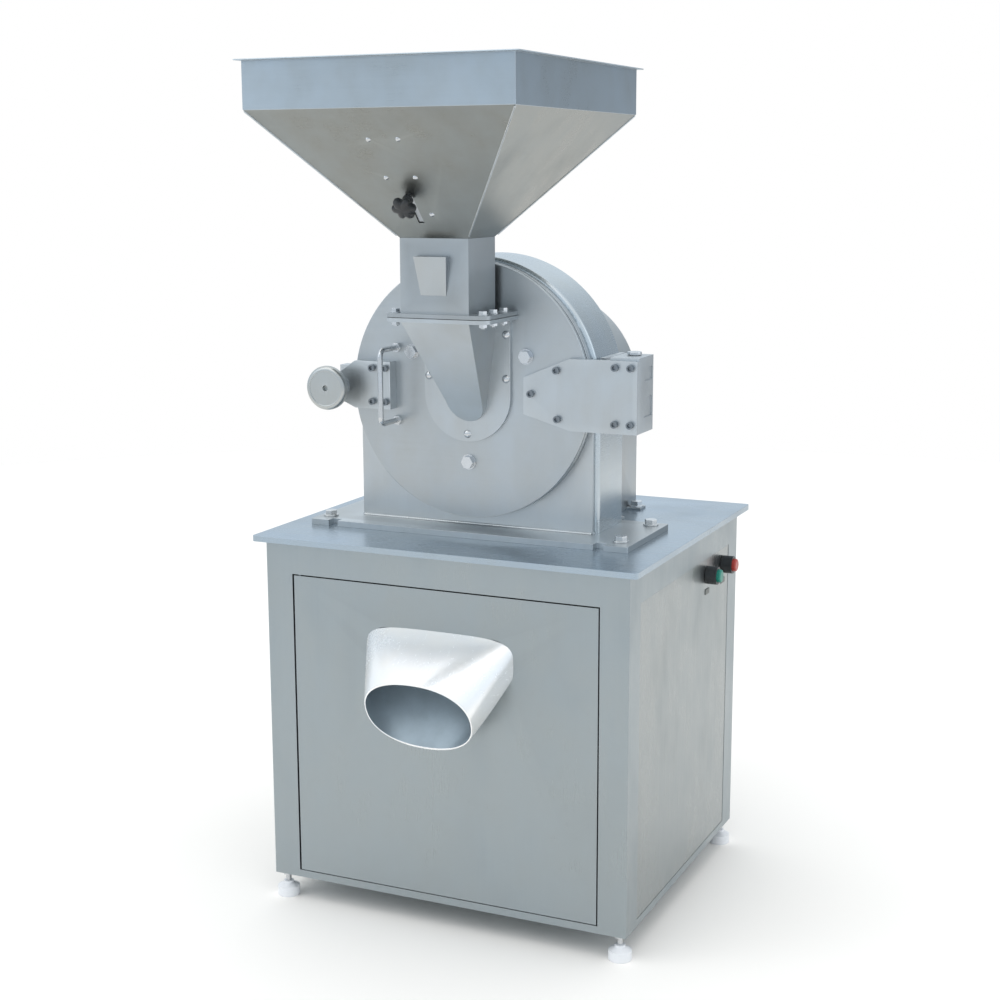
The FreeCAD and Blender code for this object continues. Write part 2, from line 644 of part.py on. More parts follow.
def belt_planes():
    middle = (PULLEY_Y[0] + PULLEY_Y[1]) / 2
    return [middle + BELT_PITCH * (i - (BELT_COUNT - 1) / 2) for i in range(BELT_COUNT)]


def loop_face(r_top, r_bottom, y):
    """Outline of a belt run over two pulleys, one above the other."""
    rise = AXIS_Z - MOTOR_Z
    nz = (r_bottom - r_top) / rise
    nx = math.sqrt(1 - nz * nz)
    top = [V(AXIS_X + s * r_top * nx, y, AXIS_Z + r_top * nz) for s in (-1, 1)]
    low = [V(AXIS_X + s * r_bottom * nx, y, MOTOR_Z + r_bottom * nz) for s in (-1, 1)]
    edges = [arc(top[0], V(AXIS_X, y, AXIS_Z + r_top), top[1]), line(top[1], low[1]),
             arc(low[1], V(AXIS_X, y, MOTOR_Z - r_bottom), low[0]), line(low[0], top[0])]
    return Part.Face(Part.Wire(edges))


def belts():
    loops = []
    gap = 0.5
    for middle in belt_planes():
        y = middle - BELT_W / 2
        inner_top, inner_low = MILL_PULLEY_R - GROOVE_DEPTH + gap, MOTOR_PULLEY_R - GROOVE_DEPTH + gap
        ring = loop_face(inner_top + BELT_T, inner_low + BELT_T, y).cut(loop_face(inner_top, inner_low, y))
        loops.append(ring.extrude(V(0, BELT_W, 0)))
    return group([solid for loop in loops for solid in loop.Solids])


# ---- bearings, motor and guard -----------------------------------------------------------------

BEARING_R, BEARING_W = 40.0, 18.0
BEARING_FRONT_Y, BEARING_REAR_Y = 34.0, 116.0


def bearing_housing():
    """Cast housing: flange on the casing, barrel and a pedestal that stands on the table."""
    barrel = rod_y(55.0, 22.0, 146.0)
    flange = rod_y(78.0, DRUM_Y[1], 22.0)
    web = box(AXIS_X - 30, AXIS_X + 30, 46.0, 124.0, TABLE_Z + PEDESTAL_T, AXIS_Z - 30)
    rib = box(AXIS_X - 48, AXIS_X + 48, 78.0, 92.0, TABLE_Z + PEDESTAL_T, AXIS_Z - 30)
    foot = rounded_plate_z(AXIS_X - 90, AXIS_X + 90, 36.0, 134.0, TABLE_Z, TABLE_Z + PEDESTAL_T, 10.0)
    body = fuse([barrel, flange, web, rib, foot])
    body = body.cut(rod_y(BEARING_R, BEARING_FRONT_Y, BEARING_REAR_Y + BEARING_W))
    body = body.cut(rod_y(SPINDLE_R + 1.5, 0.0, 160.0))
    holes = [rod_z(BOLT_HOLE_R, TABLE_Z - 1, TABLE_Z + PEDESTAL_T + 1, x, y) for x, y in PEDESTAL_SPOTS]
    return cut(body, holes)


def bearings():
    """Two ball bearings, each an outer ring, an inner ring and its balls."""
    parts = []
    ball_circle = (BEARING_R + SPINDLE_R) / 2
    for y in (BEARING_FRONT_Y, BEARING_REAR_Y):
        parts.append(tube_y(BEARING_R, BEARING_R - 6, y, y + BEARING_W))
        parts.append(tube_y(SPINDLE_R + 5, SPINDLE_R + RUN_FIT, y, y + BEARING_W))
        for i in range(9):
            a = 2 * math.pi * i / 9
            parts.append(Part.makeSphere(4.3, V(AXIS_X + ball_circle * math.cos(a), y + BEARING_W / 2,
                                                AXIS_Z + ball_circle * math.sin(a))))
    return group(parts)


def belt_guard():
    """Folded cover over the bearings and the mill pulley, with four foot tabs."""
    y0, y1 = GUARD_Y
    shell = rounded_arch(GUARD_HALF_W, GUARD_TOP_Z, GUARD_CORNER_R, y0, y1, TABLE_Z)
    hollow = rounded_arch(GUARD_HALF_W - SHEET, GUARD_TOP_Z - SHEET, GUARD_CORNER_R - SHEET, y0 + SHEET,
                          y1 - SHEET, TABLE_Z - 1)
    notch_r = 60.0
    notch = fuse([rod_y(notch_r, y0 - 1, y0 + 10),
                  box(AXIS_X - notch_r, AXIS_X + notch_r, y0 - 1, y0 + 10, TABLE_Z - 1, AXIS_Z)])
    tabs = []
    for x, y in GUARD_SPOTS:
        inner = AXIS_X + math.copysign(GUARD_HALF_W - SHEET, x - AXIS_X)
        outer = x + math.copysign(13.0, x - AXIS_X)
        tab = box(*sorted((inner, outer)), y - 14, y + 14, TABLE_Z, TABLE_Z + GUARD_TAB_T)
        tabs.append(tab.cut(rod_z(BOLT_HOLE_R, TABLE_Z - 1, TABLE_Z + 10, x, y)))
    return fuse([cut(shell, [hollow, notch])] + tabs)


MOTOR_BODY_R = 106.0
MOTOR_Y = (-150.0, 80.0)
MOTOR_BASE_Z = 85.0


def motor():
    """Foot-mounted motor: finned body, end shields, fan cowl, terminal box and feet."""
    x, z = AXIS_X, MOTOR_Z
    y0, y1 = MOTOR_Y
    shield_r, cowl_r, fin_r = 116.0, 112.0, 120.0
    foot_t = 12.0
    parts = [rod_y(MOTOR_BODY_R, y0, y1, x, z), rod_y(shield_r, y0 - 12, y0, x, z),
             rod_y(shield_r, y1, y1 + 14, x, z), rod_y(44.0, y1 + 14, y1 + 26, x, z),
             rod_y(cowl_r, y0 - 70, y0 - 12, x, z)]
    fin_count = 20
    fin = box(x - 1.5, x + 1.5, y0, y1, z + MOTOR_BODY_R - 2, z + fin_r)
    for i in range(fin_count):
        blade = fin.copy()
        blade.rotate(V(x, 0, z), V(0, 1, 0), 360.0 * (i + 0.5) / fin_count)
        parts.append(blade)
    for s in (-1, 1):
        foot_top = MOTOR_BASE_Z + foot_t
        parts.append(box(*sorted((x + s * 60, x + s * 125)), y0 + 20, y1 - 20, MOTOR_BASE_Z, foot_top))
        parts.append(box(*sorted((x + s * 60, x + s * 90)), y0 + 20, y1 - 20, foot_top, z - 60))
    parts.append(box(x + 90, x + 172, -70.0, 40.0, z - 5, z + 85))
    body = fuse(parts)
    vents = [box(x - 70, x + 70, y0 - 75, y0 - 66, z + dz, z + dz + 6) for dz in range(-60, 61, 15)]
    hollow = rod_y(cowl_r - 4, y0 - 67, y0 - 14, x, z)
    bore = [rod_y(MOTOR_SHAFT_R + RUN_FIT, y0 - 20, y1 + 30, x, z), rod_y(30.0, y0 + 10, y1 - 10, x, z)]
    return cut(body, [hollow] + vents + bore)


def motor_shaft():
    """Motor shaft with its cooling fan."""
    y0 = MOTOR_Y[0]
    parts = [rod_y(MOTOR_SHAFT_R, y0 - 50, PULLEY_Y[1] + 2, AXIS_X, MOTOR_Z),
             rod_y(36.0, y0 - 50, y0 - 44, AXIS_X, MOTOR_Z)]
    blade = box(AXIS_X - 1.5, AXIS_X + 1.5, y0 - 50, y0 - 20, MOTOR_Z + 18, MOTOR_Z + 100)
    for i in range(8):
        wing = blade.copy()
        wing.rotate(V(AXIS_X, 0, MOTOR_Z), V(0, 1, 0), 45.0 * i)
        parts.append(wing)
    return fuse(parts)


def motor_base():
    """Slide rails across the cabinet floor and the plate that the motor stands on."""
    plate_z = MOTOR_BASE_Z - 10.0
    plate = box(AXIS_X - 140, AXIS_X + 140, *MOTOR_Y, plate_z, MOTOR_BASE_Z)
    rail_end = CABINET_W / 2 - POST
    rails = [box(-rail_end, rail_end, y - 20, y + 20, CABINET_Z + SHEET, plate_z) for y in (-120.0, 50.0)]
    return group([plate] + rails)


# ================================================================================================
# casing door
# ================================================================================================

INLET_X = -16.0
INLET_R = 29.0
INLET_Z = (TABLE_Z + 250.0, TABLE_Z + 300.0)
LINER_BOLT_R = 123.0
LINER_BOLT_D = 12.0


def liner_bolt_spots():
    angles = [math.radians(a) for a in (30, 150, 270)]
    return [(AXIS_X + LINER_BOLT_R * math.cos(a), AXIS_Z + LINER_BOLT_R * math.sin(a)) for a in angles]


def inlet(y0, y1):
    """Upright slot with round ends through which the feed reaches the rotor's eye."""
    parts = [rod_y(INLET_R, y0, y1, INLET_X, z) for z in INLET_Z]
    parts.append(box(INLET_X - INLET_R, INLET_X + INLET_R, y0, y1, *INLET_Z))
    return fuse(parts)


def mill_door():
    """Round door: rim groove at half depth, gasket groove behind, inlet slot and bolt holes."""
    y0, y1 = DOOR_Y
    disc = rod_y(DOOR_R, y0, y1)
    rim_groove = tube_y(DOOR_R + 1, DOOR_R - 4, y0 + 9, y0 + 12)
    gasket_groove = tube_y(GASKET_R[1], GASKET_R[0], y1 - 3, y1 + 1)
    holes = [rod_y(LINER_BOLT_D / 2, y0 - 1, y1 + 1, x, z) for x, z in liner_bolt_spots()]
    return cut(disc, [rim_groove, gasket_groove, inlet(y0 - 1, y1 + 1)] + holes)


GASKET_R = (194.0, 206.0)
LINER_R = (98.0, 178.0)


def door_gasket():
    return tube_y(GASKET_R[1], GASKET_R[0], DOOR_Y[1] - 3, DOOR_Y[1] + 0.6)


def door_liner():
    """Hard ring with radial ribs on the door's inner face."""
    y0 = DOOR_Y[1]
    ring = tube_y(LINER_R[1], LINER_R[0], y0, y0 + 10)
    parts = [ring]
    rib = box(AXIS_X - 4, AXIS_X + 4, y0 + 9, y0 + 15, AXIS_Z + LINER_R[0] + 4, AXIS_Z + SCREEN_R - 6)
    rib_count = 24
    for i in range(rib_count):
        tooth = rib.copy()
        tooth.rotate(V(AXIS_X, 0, AXIS_Z), V(0, 1, 0), 360.0 * (i + 0.5) / rib_count)
        parts.append(tooth)
    holes = [rod_y(LINER_BOLT_D / 2, y0 - 1, y0 + 11, x, z) for x, z in liner_bolt_spots()]
    return cut(fuse(parts), holes)


def liner_bolts():
    out = V(0, -1, 0)
    return group([hex_bolt(LINER_BOLT_D, 30.0, V(x, DOOR_Y[0], z), out, 2.5) for x, z in liner_bolt_spots()])


COVER_Y = (DOOR_Y[0] - 6.0, DOOR_Y[0])
COVER_HALF_W = 80.0
COVER_LOW_Z = TABLE_Z + 239.0        # centre of the round lower end
COVER_SPOTS = [(-92.0, 343.0), (-92.0, 269.0), (AXIS_X, 172.0), (52.0, 269.0), (52.0, 343.0)]


def cover_plate():
    """U-shaped plate that carries the chute."""
    y0, y1 = COVER_Y
    x0, x1 = AXIS_X - COVER_HALF_W, AXIS_X + COVER_HALF_W
    edges = [line(V(x0, y0, FLANGE_Z), V(x0, y0, COVER_LOW_Z)),
             arc(V(x0, y0, COVER_LOW_Z), V(AXIS_X, y0, COVER_LOW_Z - COVER_HALF_W), V(x1, y0, COVER_LOW_Z)),
             line(V(x1, y0, COVER_LOW_Z), V(x1, y0, FLANGE_Z)),
             line(V(x1, y0, FLANGE_Z), V(x0, y0, FLANGE_Z))]
    plate = Part.Face(Part.Wire(edges)).extrude(V(0, y1 - y0, 0))
    holes = [rod_y(4.2, y0 - 1, y1 + 1, x, TABLE_Z + z) for x, z in COVER_SPOTS]
    return cut(plate, [inlet(y0 - 1, y1 + 1)] + holes)


def feed_screws():
    """Dome screws of the cover plate and of the gate's guide bars."""
    out = V(0, -1, 0)
    y0, y1 = COVER_Y
    cover = [dome_screw(8.0, y1 - y0, V(x, y0, TABLE_Z + z), out) for x, z in COVER_SPOTS]
    gate = [on_slope(dome_screw(5.0, 9.0, V(x, y, 0.0), V(0, 0, 1))) for x, y in GATE_SCREW_SPOTS]
    return group(cover + gate)


CHUTE_TIP_Z = TABLE_Z + 227.0
CHUTE_TIP_X = (-49.0, 17.0)


def chute_body(wall, top_z):
    """Wedge whose front leans back to the door and whose lower end is round."""
    xt0, xt1 = NECK_X[0] + wall, NECK_X[1] - wall
    xb0, xb1 = CHUTE_TIP_X[0] + wall, CHUTE_TIP_X[1] - wall
    r = (xb1 - xb0) / 2
    mid_x = (xb0 + xb1) / 2
    y_back = COVER_Y[0]
    y_front = NECK_Y[0]
    edges = [line(V(xt0, y_back, top_z), V(xb0, y_back, CHUTE_TIP_Z)),
             arc(V(xb0, y_back, CHUTE_TIP_Z), V(mid_x, y_back, CHUTE_TIP_Z - r), V(xb1, y_back, CHUTE_TIP_Z)),
             line(V(xb1, y_back, CHUTE_TIP_Z), V(xt1, y_back, top_z)),
             line(V(xt1, y_back, top_z), V(xt0, y_back, top_z))]
    bulk = Part.Face(Part.Wire(edges)).extrude(V(0, y_front - y_back, 0))
    low_z = CHUTE_TIP_Z - (CHUTE_TIP_X[1] - CHUTE_TIP_X[0]) / 2
    slope = (FLANGE_Z - low_z) / (y_back - y_front)
    shift = wall * math.sqrt(1 + slope * slope)
    past = 60.0
    below = [(y_front - past, FLANGE_Z + slope * past + shift), (y_back + past, low_z - slope * past + shift),
             (y_back + past, low_z - 5 * past), (y_front - past, low_z - 5 * past)]
    return bulk.cut(prism_x(below, -200.0, 200.0))


FLANGE_X = (-116.0, 72.0)
FLANGE_Y = (-255.0, DOOR_Y[0])
FLANGE_SPOTS = [(-102.0, -236.0), (-102.0, -156.0), (56.0, -236.0), (56.0, -196.0), (56.0, -156.0)]


def flange(z0):
    """Loose-cornered plate with a square throat."""
    plate = box(*FLANGE_X, *FLANGE_Y, z0, z0 + FLANGE_T)
    front = [e for e in plate.Edges if abs(e.Vertexes[0].Z - e.Vertexes[1].Z) > 1 and e.Vertexes[0].Y < -250]
    plate = plate.makeFillet(18.0, front)
    throat = box(*inset(NECK_X, 2.5), *inset(NECK_Y, 2.5), z0 - 1, z0 + FLANGE_T + 1)
    return cut(plate, [throat] + [rod_z(4.5, z0 - 1, z0 + FLANGE_T + 1, x, y) for x, y in FLANGE_SPOTS])


def feed_chute():
    wall = 2.5
    hollow = chute_body(wall, FLANGE_Z)
    body = chute_body(0.0, FLANGE_Z).cut(hollow)
    return fuse([body, flange(FLANGE_Z)]).cut(hollow)


def neck_box():
    """Square neck on its own flange, with the small open-topped pocket on its front."""
    wall = 2.5
    tube = box(*NECK_X, *NECK_Y, NECK_BASE_Z, NECK_TOP_Z)
    tube = tube.cut(box(*inset(NECK_X, wall), *inset(NECK_Y, wall), NECK_BASE_Z - 1, NECK_TOP_Z + 1))
    return fuse([tube, flange(NECK_BASE_Z - FLANGE_T), neck_pocket()])


def neck_pocket():
    """Wedge pocket: flush with the neck at its foot, proud of it at its open top."""
    y = NECK_Y[0]
    foot_z, top_z, proud = TABLE_Z + 413.0, TABLE_Z + 476.0, 13.0
    foot_x, top_x = (-50.0, -4.0), (-57.0, 2.0)

    def wedge(wall, extra):
        ends = []
        for x, z, front in ((inset(foot_x, wall), foot_z + 2 * wall, y - 0.6),
                            (inset(top_x, wall), top_z + extra, y - proud + wall)):
            corners = [V(x[0], y, z), V(x[1], y, z), V(x[1], front, z), V(x[0], front, z)]
            ends.append(Part.makePolygon(corners + [corners[0]]))
        return Part.makeLoft(ends, True, True)

    return wedge(0.0, 0.0).cut(wedge(1.5, 0.5))


def flange_bolts():
    up = V(0, 0, 1)
    bolts = []
    for x, y in FLANGE_SPOTS:
        bolt = hex_bolt(8.0, 2 * FLANGE_T + 9.0, V(x, y, NECK_BASE_Z), up, 1.6)
        nut = hexagon(13.0, 6.0, V(x, y, FLANGE_Z - 6.0), up)
        bolts.append(fuse([bolt, nut]))
    return group(bolts)


# ================================================================================================
# hopper and feed gate
# ================================================================================================

SLOPE_RUN = NECK_Y[0] - HOPPER_Y[0]
SLOPE_RISE = HOPPER_BAND_Z - NECK_TOP_Z
GATE_Y = HOPPER_Y[0] + SLOPE_RUN * (HOPPER_BAND_Z - GATE_Z) / SLOPE_RISE
SLOPE_ANGLE = 180.0 - math.degrees(math.atan2(SLOPE_RISE, SLOPE_RUN))
HOPPER_WALL = 2.0
GATE_TRAVEL = 55.0                   # how far the gate slides down the slope


def on_slope(shape):
    """Move a shape drawn on a flat (x right, y up the slope, z out) to the hopper's front slope."""
    place = FreeCAD.Placement(V(GATE_X, GATE_Y, GATE_Z), FreeCAD.Rotation(V(1, 0, 0), SLOPE_ANGLE))
    moved = shape.copy()
    moved.Placement = place.multiply(moved.Placement)
    return moved


def hopper():
    """Inverted pyramid with an upright band and an outward lip, slotted for the gate's stud."""
    wall = HOPPER_WALL
    cone = frustum(NECK_X, NECK_Y, NECK_TOP_Z, HOPPER_X, HOPPER_Y, HOPPER_BAND_Z)
    slope_wall = wall * 1.4
    cone = cone.cut(frustum(inset(NECK_X, slope_wall), inset(NECK_Y, slope_wall), NECK_TOP_Z,
                            inset(HOPPER_X, slope_wall), inset(HOPPER_Y, slope_wall), HOPPER_BAND_Z))
    band = box(*HOPPER_X, *HOPPER_Y, HOPPER_BAND_Z, HOPPER_TOP_Z)
    lip = box(*inset(HOPPER_X, -HOPPER_LIP), *inset(HOPPER_Y, -HOPPER_LIP), HOPPER_TOP_Z - wall, HOPPER_TOP_Z)
    hollow = box(*inset(HOPPER_X, slope_wall), *inset(HOPPER_Y, slope_wall),
                 HOPPER_BAND_Z - 1, HOPPER_TOP_Z + 1)
    body = fuse([cone, fuse([band, lip]).cut(hollow)])
    slot = box(-5.0, 5.0, -GATE_TRAVEL - 5, 5.0, -20.0, 10.0)
    holes = [Part.makeCylinder(2.5, 30.0, V(x, y, -20)) for x, y in GATE_SCREW_SPOTS]
    return cut(body, [on_slope(tool) for tool in [slot] + holes])


GATE_SCREW_SPOTS = [(s * 25.5, y) for y in (120.0, 40.0, -40.0) for s in (-1, 1)]
GATE_INNER = -2.3                    # hopper's inner face, measured out from its outer face
STRAP_HALF_W = 15.0


def gate_rails():
    """Two stepped guide bars inside the slope with the screws that hold them."""
    parts = []
    floor = GATE_INNER
    for s in (-1, 1):
        bar = box(*sorted((s * (STRAP_HALF_W + 0.5), s * 34.0)), -46.0, 128.0, floor - 4.2, floor)
        lip = box(*sorted((s * (STRAP_HALF_W - 4), s * 34.0)), -46.0, 128.0, floor - 6.7, floor - 4.2)
        rail = fuse([bar, lip])
        holes = [Part.makeCylinder(2.5, 30.0, V(x, y, -20)) for x, y in GATE_SCREW_SPOTS if x * s > 0]
        parts.append(cut(rail, holes))
    return group([on_slope(part) for part in parts])


def gate_plate():
    """Strap between the rails with the blade at its foot and the knob's stud."""
    top = GATE_INNER - 0.4
    strap = box(-STRAP_HALF_W, STRAP_HALF_W, -92.0, 60.0, top - 3.0, top)
    blade = box(-45.0, 50.0, -92.0, -50.0, top - 3.0, top)
    stud = Part.makeCylinder(4.0, 26.0 - top, V(0, 0, top - 1.0))
    return on_slope(fuse([strap, blade, stud]))


def gate_knob():
    """Six-lobed knob on a hub."""
    parts = [Part.makeCylinder(9.0, 14.0, V(0, 0, 0.6)), Part.makeCylinder(16.0, 15.0, V(0, 0, 14.0))]
    for i in range(6):
        a = math.radians(60 * i)
        parts.append(Part.makeCylinder(6.0, 13.0, V(15.0 * math.cos(a), 15.0 * math.sin(a), 15.0)))
    knob = fuse(parts)
    return on_slope(knob.cut(Part.makeCylinder(4.0 + RUN_FIT, 26.0, V(0, 0, 0))))


# ================================================================================================
# door furniture
# ================================================================================================

def swept_rod(points, r, bend):
    """Round bar along straight runs joined by bends of one radius."""
    edges = []
    start = points[0]
    for i in range(1, len(points) - 1):
        into = (points[i] - points[i - 1]).normalize()
        out = (points[i + 1] - points[i]).normalize()
        a, b = points[i] - V(into).multiply(bend), points[i] + V(out).multiply(bend)
        mid = points[i] + V(out - into).multiply(bend * (1 - math.sqrt(0.5)))
        edges += [line(start, a), arc(a, mid, b)]
        start = b
    edges.append(line(start, points[-1]))
    path = Part.Wire(edges)
    first = (points[1] - points[0]).normalize()
    profile = Part.Wire(Part.makeCircle(r, points[0], first))
    return path.makePipeShell([profile], True, True)


HANDLE_X, HANDLE_Y = -155.0, -195.0
HANDLE_Z = (TABLE_Z + 188.0, TABLE_Z + 314.0)


def door_handle():
    """Bent pull rod with a collar nut where each leg meets the door."""
    face = DOOR_Y[0]
    rod = swept_rod([V(HANDLE_X, face, HANDLE_Z[0]), V(HANDLE_X, HANDLE_Y, HANDLE_Z[0]),
                     V(HANDLE_X, HANDLE_Y, HANDLE_Z[1]), V(HANDLE_X, face, HANDLE_Z[1])], 4.5, 13.0)
    nuts = [hexagon(15.0, 8.0, V(HANDLE_X, face, z), V(0, -1, 0)) for z in HANDLE_Z]
    return fuse([rod] + nuts)


LATCH_Y = (-153.0, DOOR_Y[0])
LATCH_X = (-240.0, -159.0)
LATCH_Z = (TABLE_Z + 208.0, TABLE_Z + 290.0)
BOSS_R = 22.0
LATCH_SPOTS = [(x, z) for x in (-193.0, -168.0) for z in (221.0, 279.0)]


def latch_arm():
    """Thick plate on the door that ends in the boss of the clamp screw."""
    y0, y1 = LATCH_Y
    plate = box(LATCH_X[0] + 12, LATCH_X[1], y0, y1, *LATCH_Z)
    neck = prism_y([(LATCH_X[0] + 12, LATCH_Z[0]), (CLAMP_X, CLAMP_Z - BOSS_R), (CLAMP_X, CLAMP_Z + BOSS_R),
                    (LATCH_X[0] + 12, LATCH_Z[1])], y0, y1)
    boss = rod_y(BOSS_R, y0 - 4, FRONT_PLATE_Y[1], CLAMP_X, CLAMP_Z)
    screw_holes = [rod_y(CAP_SCREW / 2, y0 - 1, y1 + 1, x, TABLE_Z + z) for x, z in LATCH_SPOTS]
    stud_hole = rod_y(CLAMP_STUD_R + 0.4, y0 - 10, -60.0, CLAMP_X, CLAMP_Z)
    return cut(fuse([plate, neck, boss]), [stud_hole] + screw_holes)


CLAMP_STUD_R = 8.0
COLLAR_Y = (-180.0, LATCH_Y[0] - 4.5)
WHEEL_Y = (-199.0, -180.5)
WHEEL_R = 38.0


def clamp_collar():
    """Thrust collar between handwheel and boss."""
    return tube_y(15.0, CLAMP_STUD_R + RUN_FIT, *COLLAR_Y, CLAMP_X, CLAMP_Z)


def clamp_wheel():
    """Round handwheel with a rounded rim and a recessed face, on its stud."""
    y0, y1 = WHEEL_Y
    wheel = rod_y(WHEEL_R, y0, y1, CLAMP_X, CLAMP_Z)
    wheel = wheel.makeFillet(7.0, [e for e in wheel.Edges if e.Length > 200])
    face = rod_y(WHEEL_R - 8, y0 - 1, y0 + 1.2, CLAMP_X, CLAMP_Z)
    centre = rod_y(5.0, y0 - 1, y0 + 9, CLAMP_X, CLAMP_Z)
    stud = rod_y(CLAMP_STUD_R, y1 - 2, -72.0, CLAMP_X, CLAMP_Z)
    return fuse([cut(wheel, [face, centre]), stud])


CAP_SCREW = 8.0
LEAF_Y = (DOOR_Y[0] - 9.0, DOOR_Y[0])
LEAF_OUTLINE = [(85.0, 212.0), (85.0, 274.0), (168.0, 308.0), (286.0, 308.0), (286.0, 188.0),
                (170.0, 188.0)]
LEAF_SPOTS = [(145.0, 288.0), (99.0, 247.0), (147.0, 207.0)]
BLOCK_SPOTS = [(x, z) for x in (248.0, 275.0) for z in (204.0, 297.0)]


def hinge_leaf():
    """Five-sided plate from the door to the hinge block."""
    leaf = prism_y([(x, TABLE_Z + z) for x, z in LEAF_OUTLINE], *LEAF_Y)
    return cut(leaf, [rod_y(CAP_SCREW / 2, LEAF_Y[0] - 1, LEAF_Y[1] + 1, x, TABLE_Z + z)
                      for x, z in LEAF_SPOTS + BLOCK_SPOTS])


def hinge_block():
    """Block behind the leaf's outer end: slots for the casing's two lugs, and a pocket outside each."""
    x0, x1 = HINGE_BLOCK_X
    y1 = HINGE_BLOCK_Y[1]
    block = box(x0, x1, *HINGE_BLOCK_Y, *HINGE_BLOCK_Z)
    gap = 0.6
    pocket_depth, pocket_border = 2.2, 4.0
    cuts = [rod_z(HINGE_PIN_R + RUN_FIT, HINGE_BLOCK_Z[0] - 1, HINGE_BLOCK_Z[1] + 1, HINGE_X, HINGE_Y)]
    for z0, z1 in HINGE_LUG_Z:
        cuts.append(box(x0 - 1, x1 - HINGE_SIDE_WALL, HINGE_WEB_Y, y1 + 1, z0 - gap, z1 + gap))
        cuts.append(box(x1 - pocket_depth, x1 + 1, HINGE_WEB_Y + pocket_border, y1 - pocket_border, z0, z1))
    return cut(block, cuts)


def door_cap_screws():
    """Cap screws of the hinge leaf, the hinge block and the latch arm."""
    screws = []
    for spots, (y0, y1) in ((LEAF_SPOTS + BLOCK_SPOTS, LEAF_Y), (LATCH_SPOTS, LATCH_Y)):
        screws += [cap_screw(CAP_SCREW, y1 - y0, V(x, y0, TABLE_Z + z), V(0, -1, 0)) for x, z in spots]
    return group(screws)


# ================================================================================================
# electrical pieces
# ================================================================================================

def button_bodies():
    """Black sleeves, each with its panel nut and contact block behind the panel."""
    parts = []
    for y in (START_Y, STOP_Y):
        sleeve = rod_x(16.0, SIDE_X, SIDE_X + SLEEVE_L, y, BUTTON_Z)
        sleeve = sleeve.cut(rod_x(12.0, SIDE_X + 4, SIDE_X + SLEEVE_L + 1, y, BUTTON_Z))
        barrel = rod_x(11.0, SIDE_X - 14, SIDE_X + 4, y, BUTTON_Z)
        block = box(SIDE_X - 52, SIDE_X - 14, y - 15, y + 15, BUTTON_Z - 20, BUTTON_Z + 20)
        parts.append(fuse([sleeve, barrel, block]))
    return group(parts)


def button_cap(y):
    """Domed cap that travels inside its sleeve."""
    stem = rod_x(11.0, SIDE_X + 9, SIDE_X + 18, y, BUTTON_Z)
    head = rod_x(11.5, SIDE_X + 18, SIDE_X + BUTTON_REACH, y, BUTTON_Z)
    head = head.makeFillet(3.0, [e for e in head.Edges if min(v.X for v in e.Vertexes) > SIDE_X + 26])
    return fuse([stem, head])


def control_box():
    """Starter enclosure inside the right-hand side, behind the buttons."""
    x0, x1 = 150.0, 262.0
    case = box(x0, x1, 60.0, 140.0, 400.0, 590.0)
    lid = box(x0 - 4, x0, 56.0, 144.0, 396.0, 594.0)
    bracket = box(x1, SIDE_X - 0.5 - SHEET, 90.0, 110.0, 410.0, 440.0)
    return group([fuse([case, bracket]), lid])


def cable_gland():
    """Gland in the rear panel: hexagon, dome nut and locknut."""
    hy = CABINET_D / 2
    back = V(0, 1, 0)
    parts = [hexagon(28.0, 7.0, V(GLAND_X, hy - 0.5, GLAND_Z), back),
             rod_y(12.0, hy - 14, hy + 16, GLAND_X, GLAND_Z),
             hexagon(28.0, 5.0, V(GLAND_X, hy - 0.5 - SHEET - 5, GLAND_Z), back)]
    return fuse(parts).cut(rod_y(6.0, hy - 20, hy + 20, GLAND_X, GLAND_Z))


# ================================================================================================
# files
# ================================================================================================

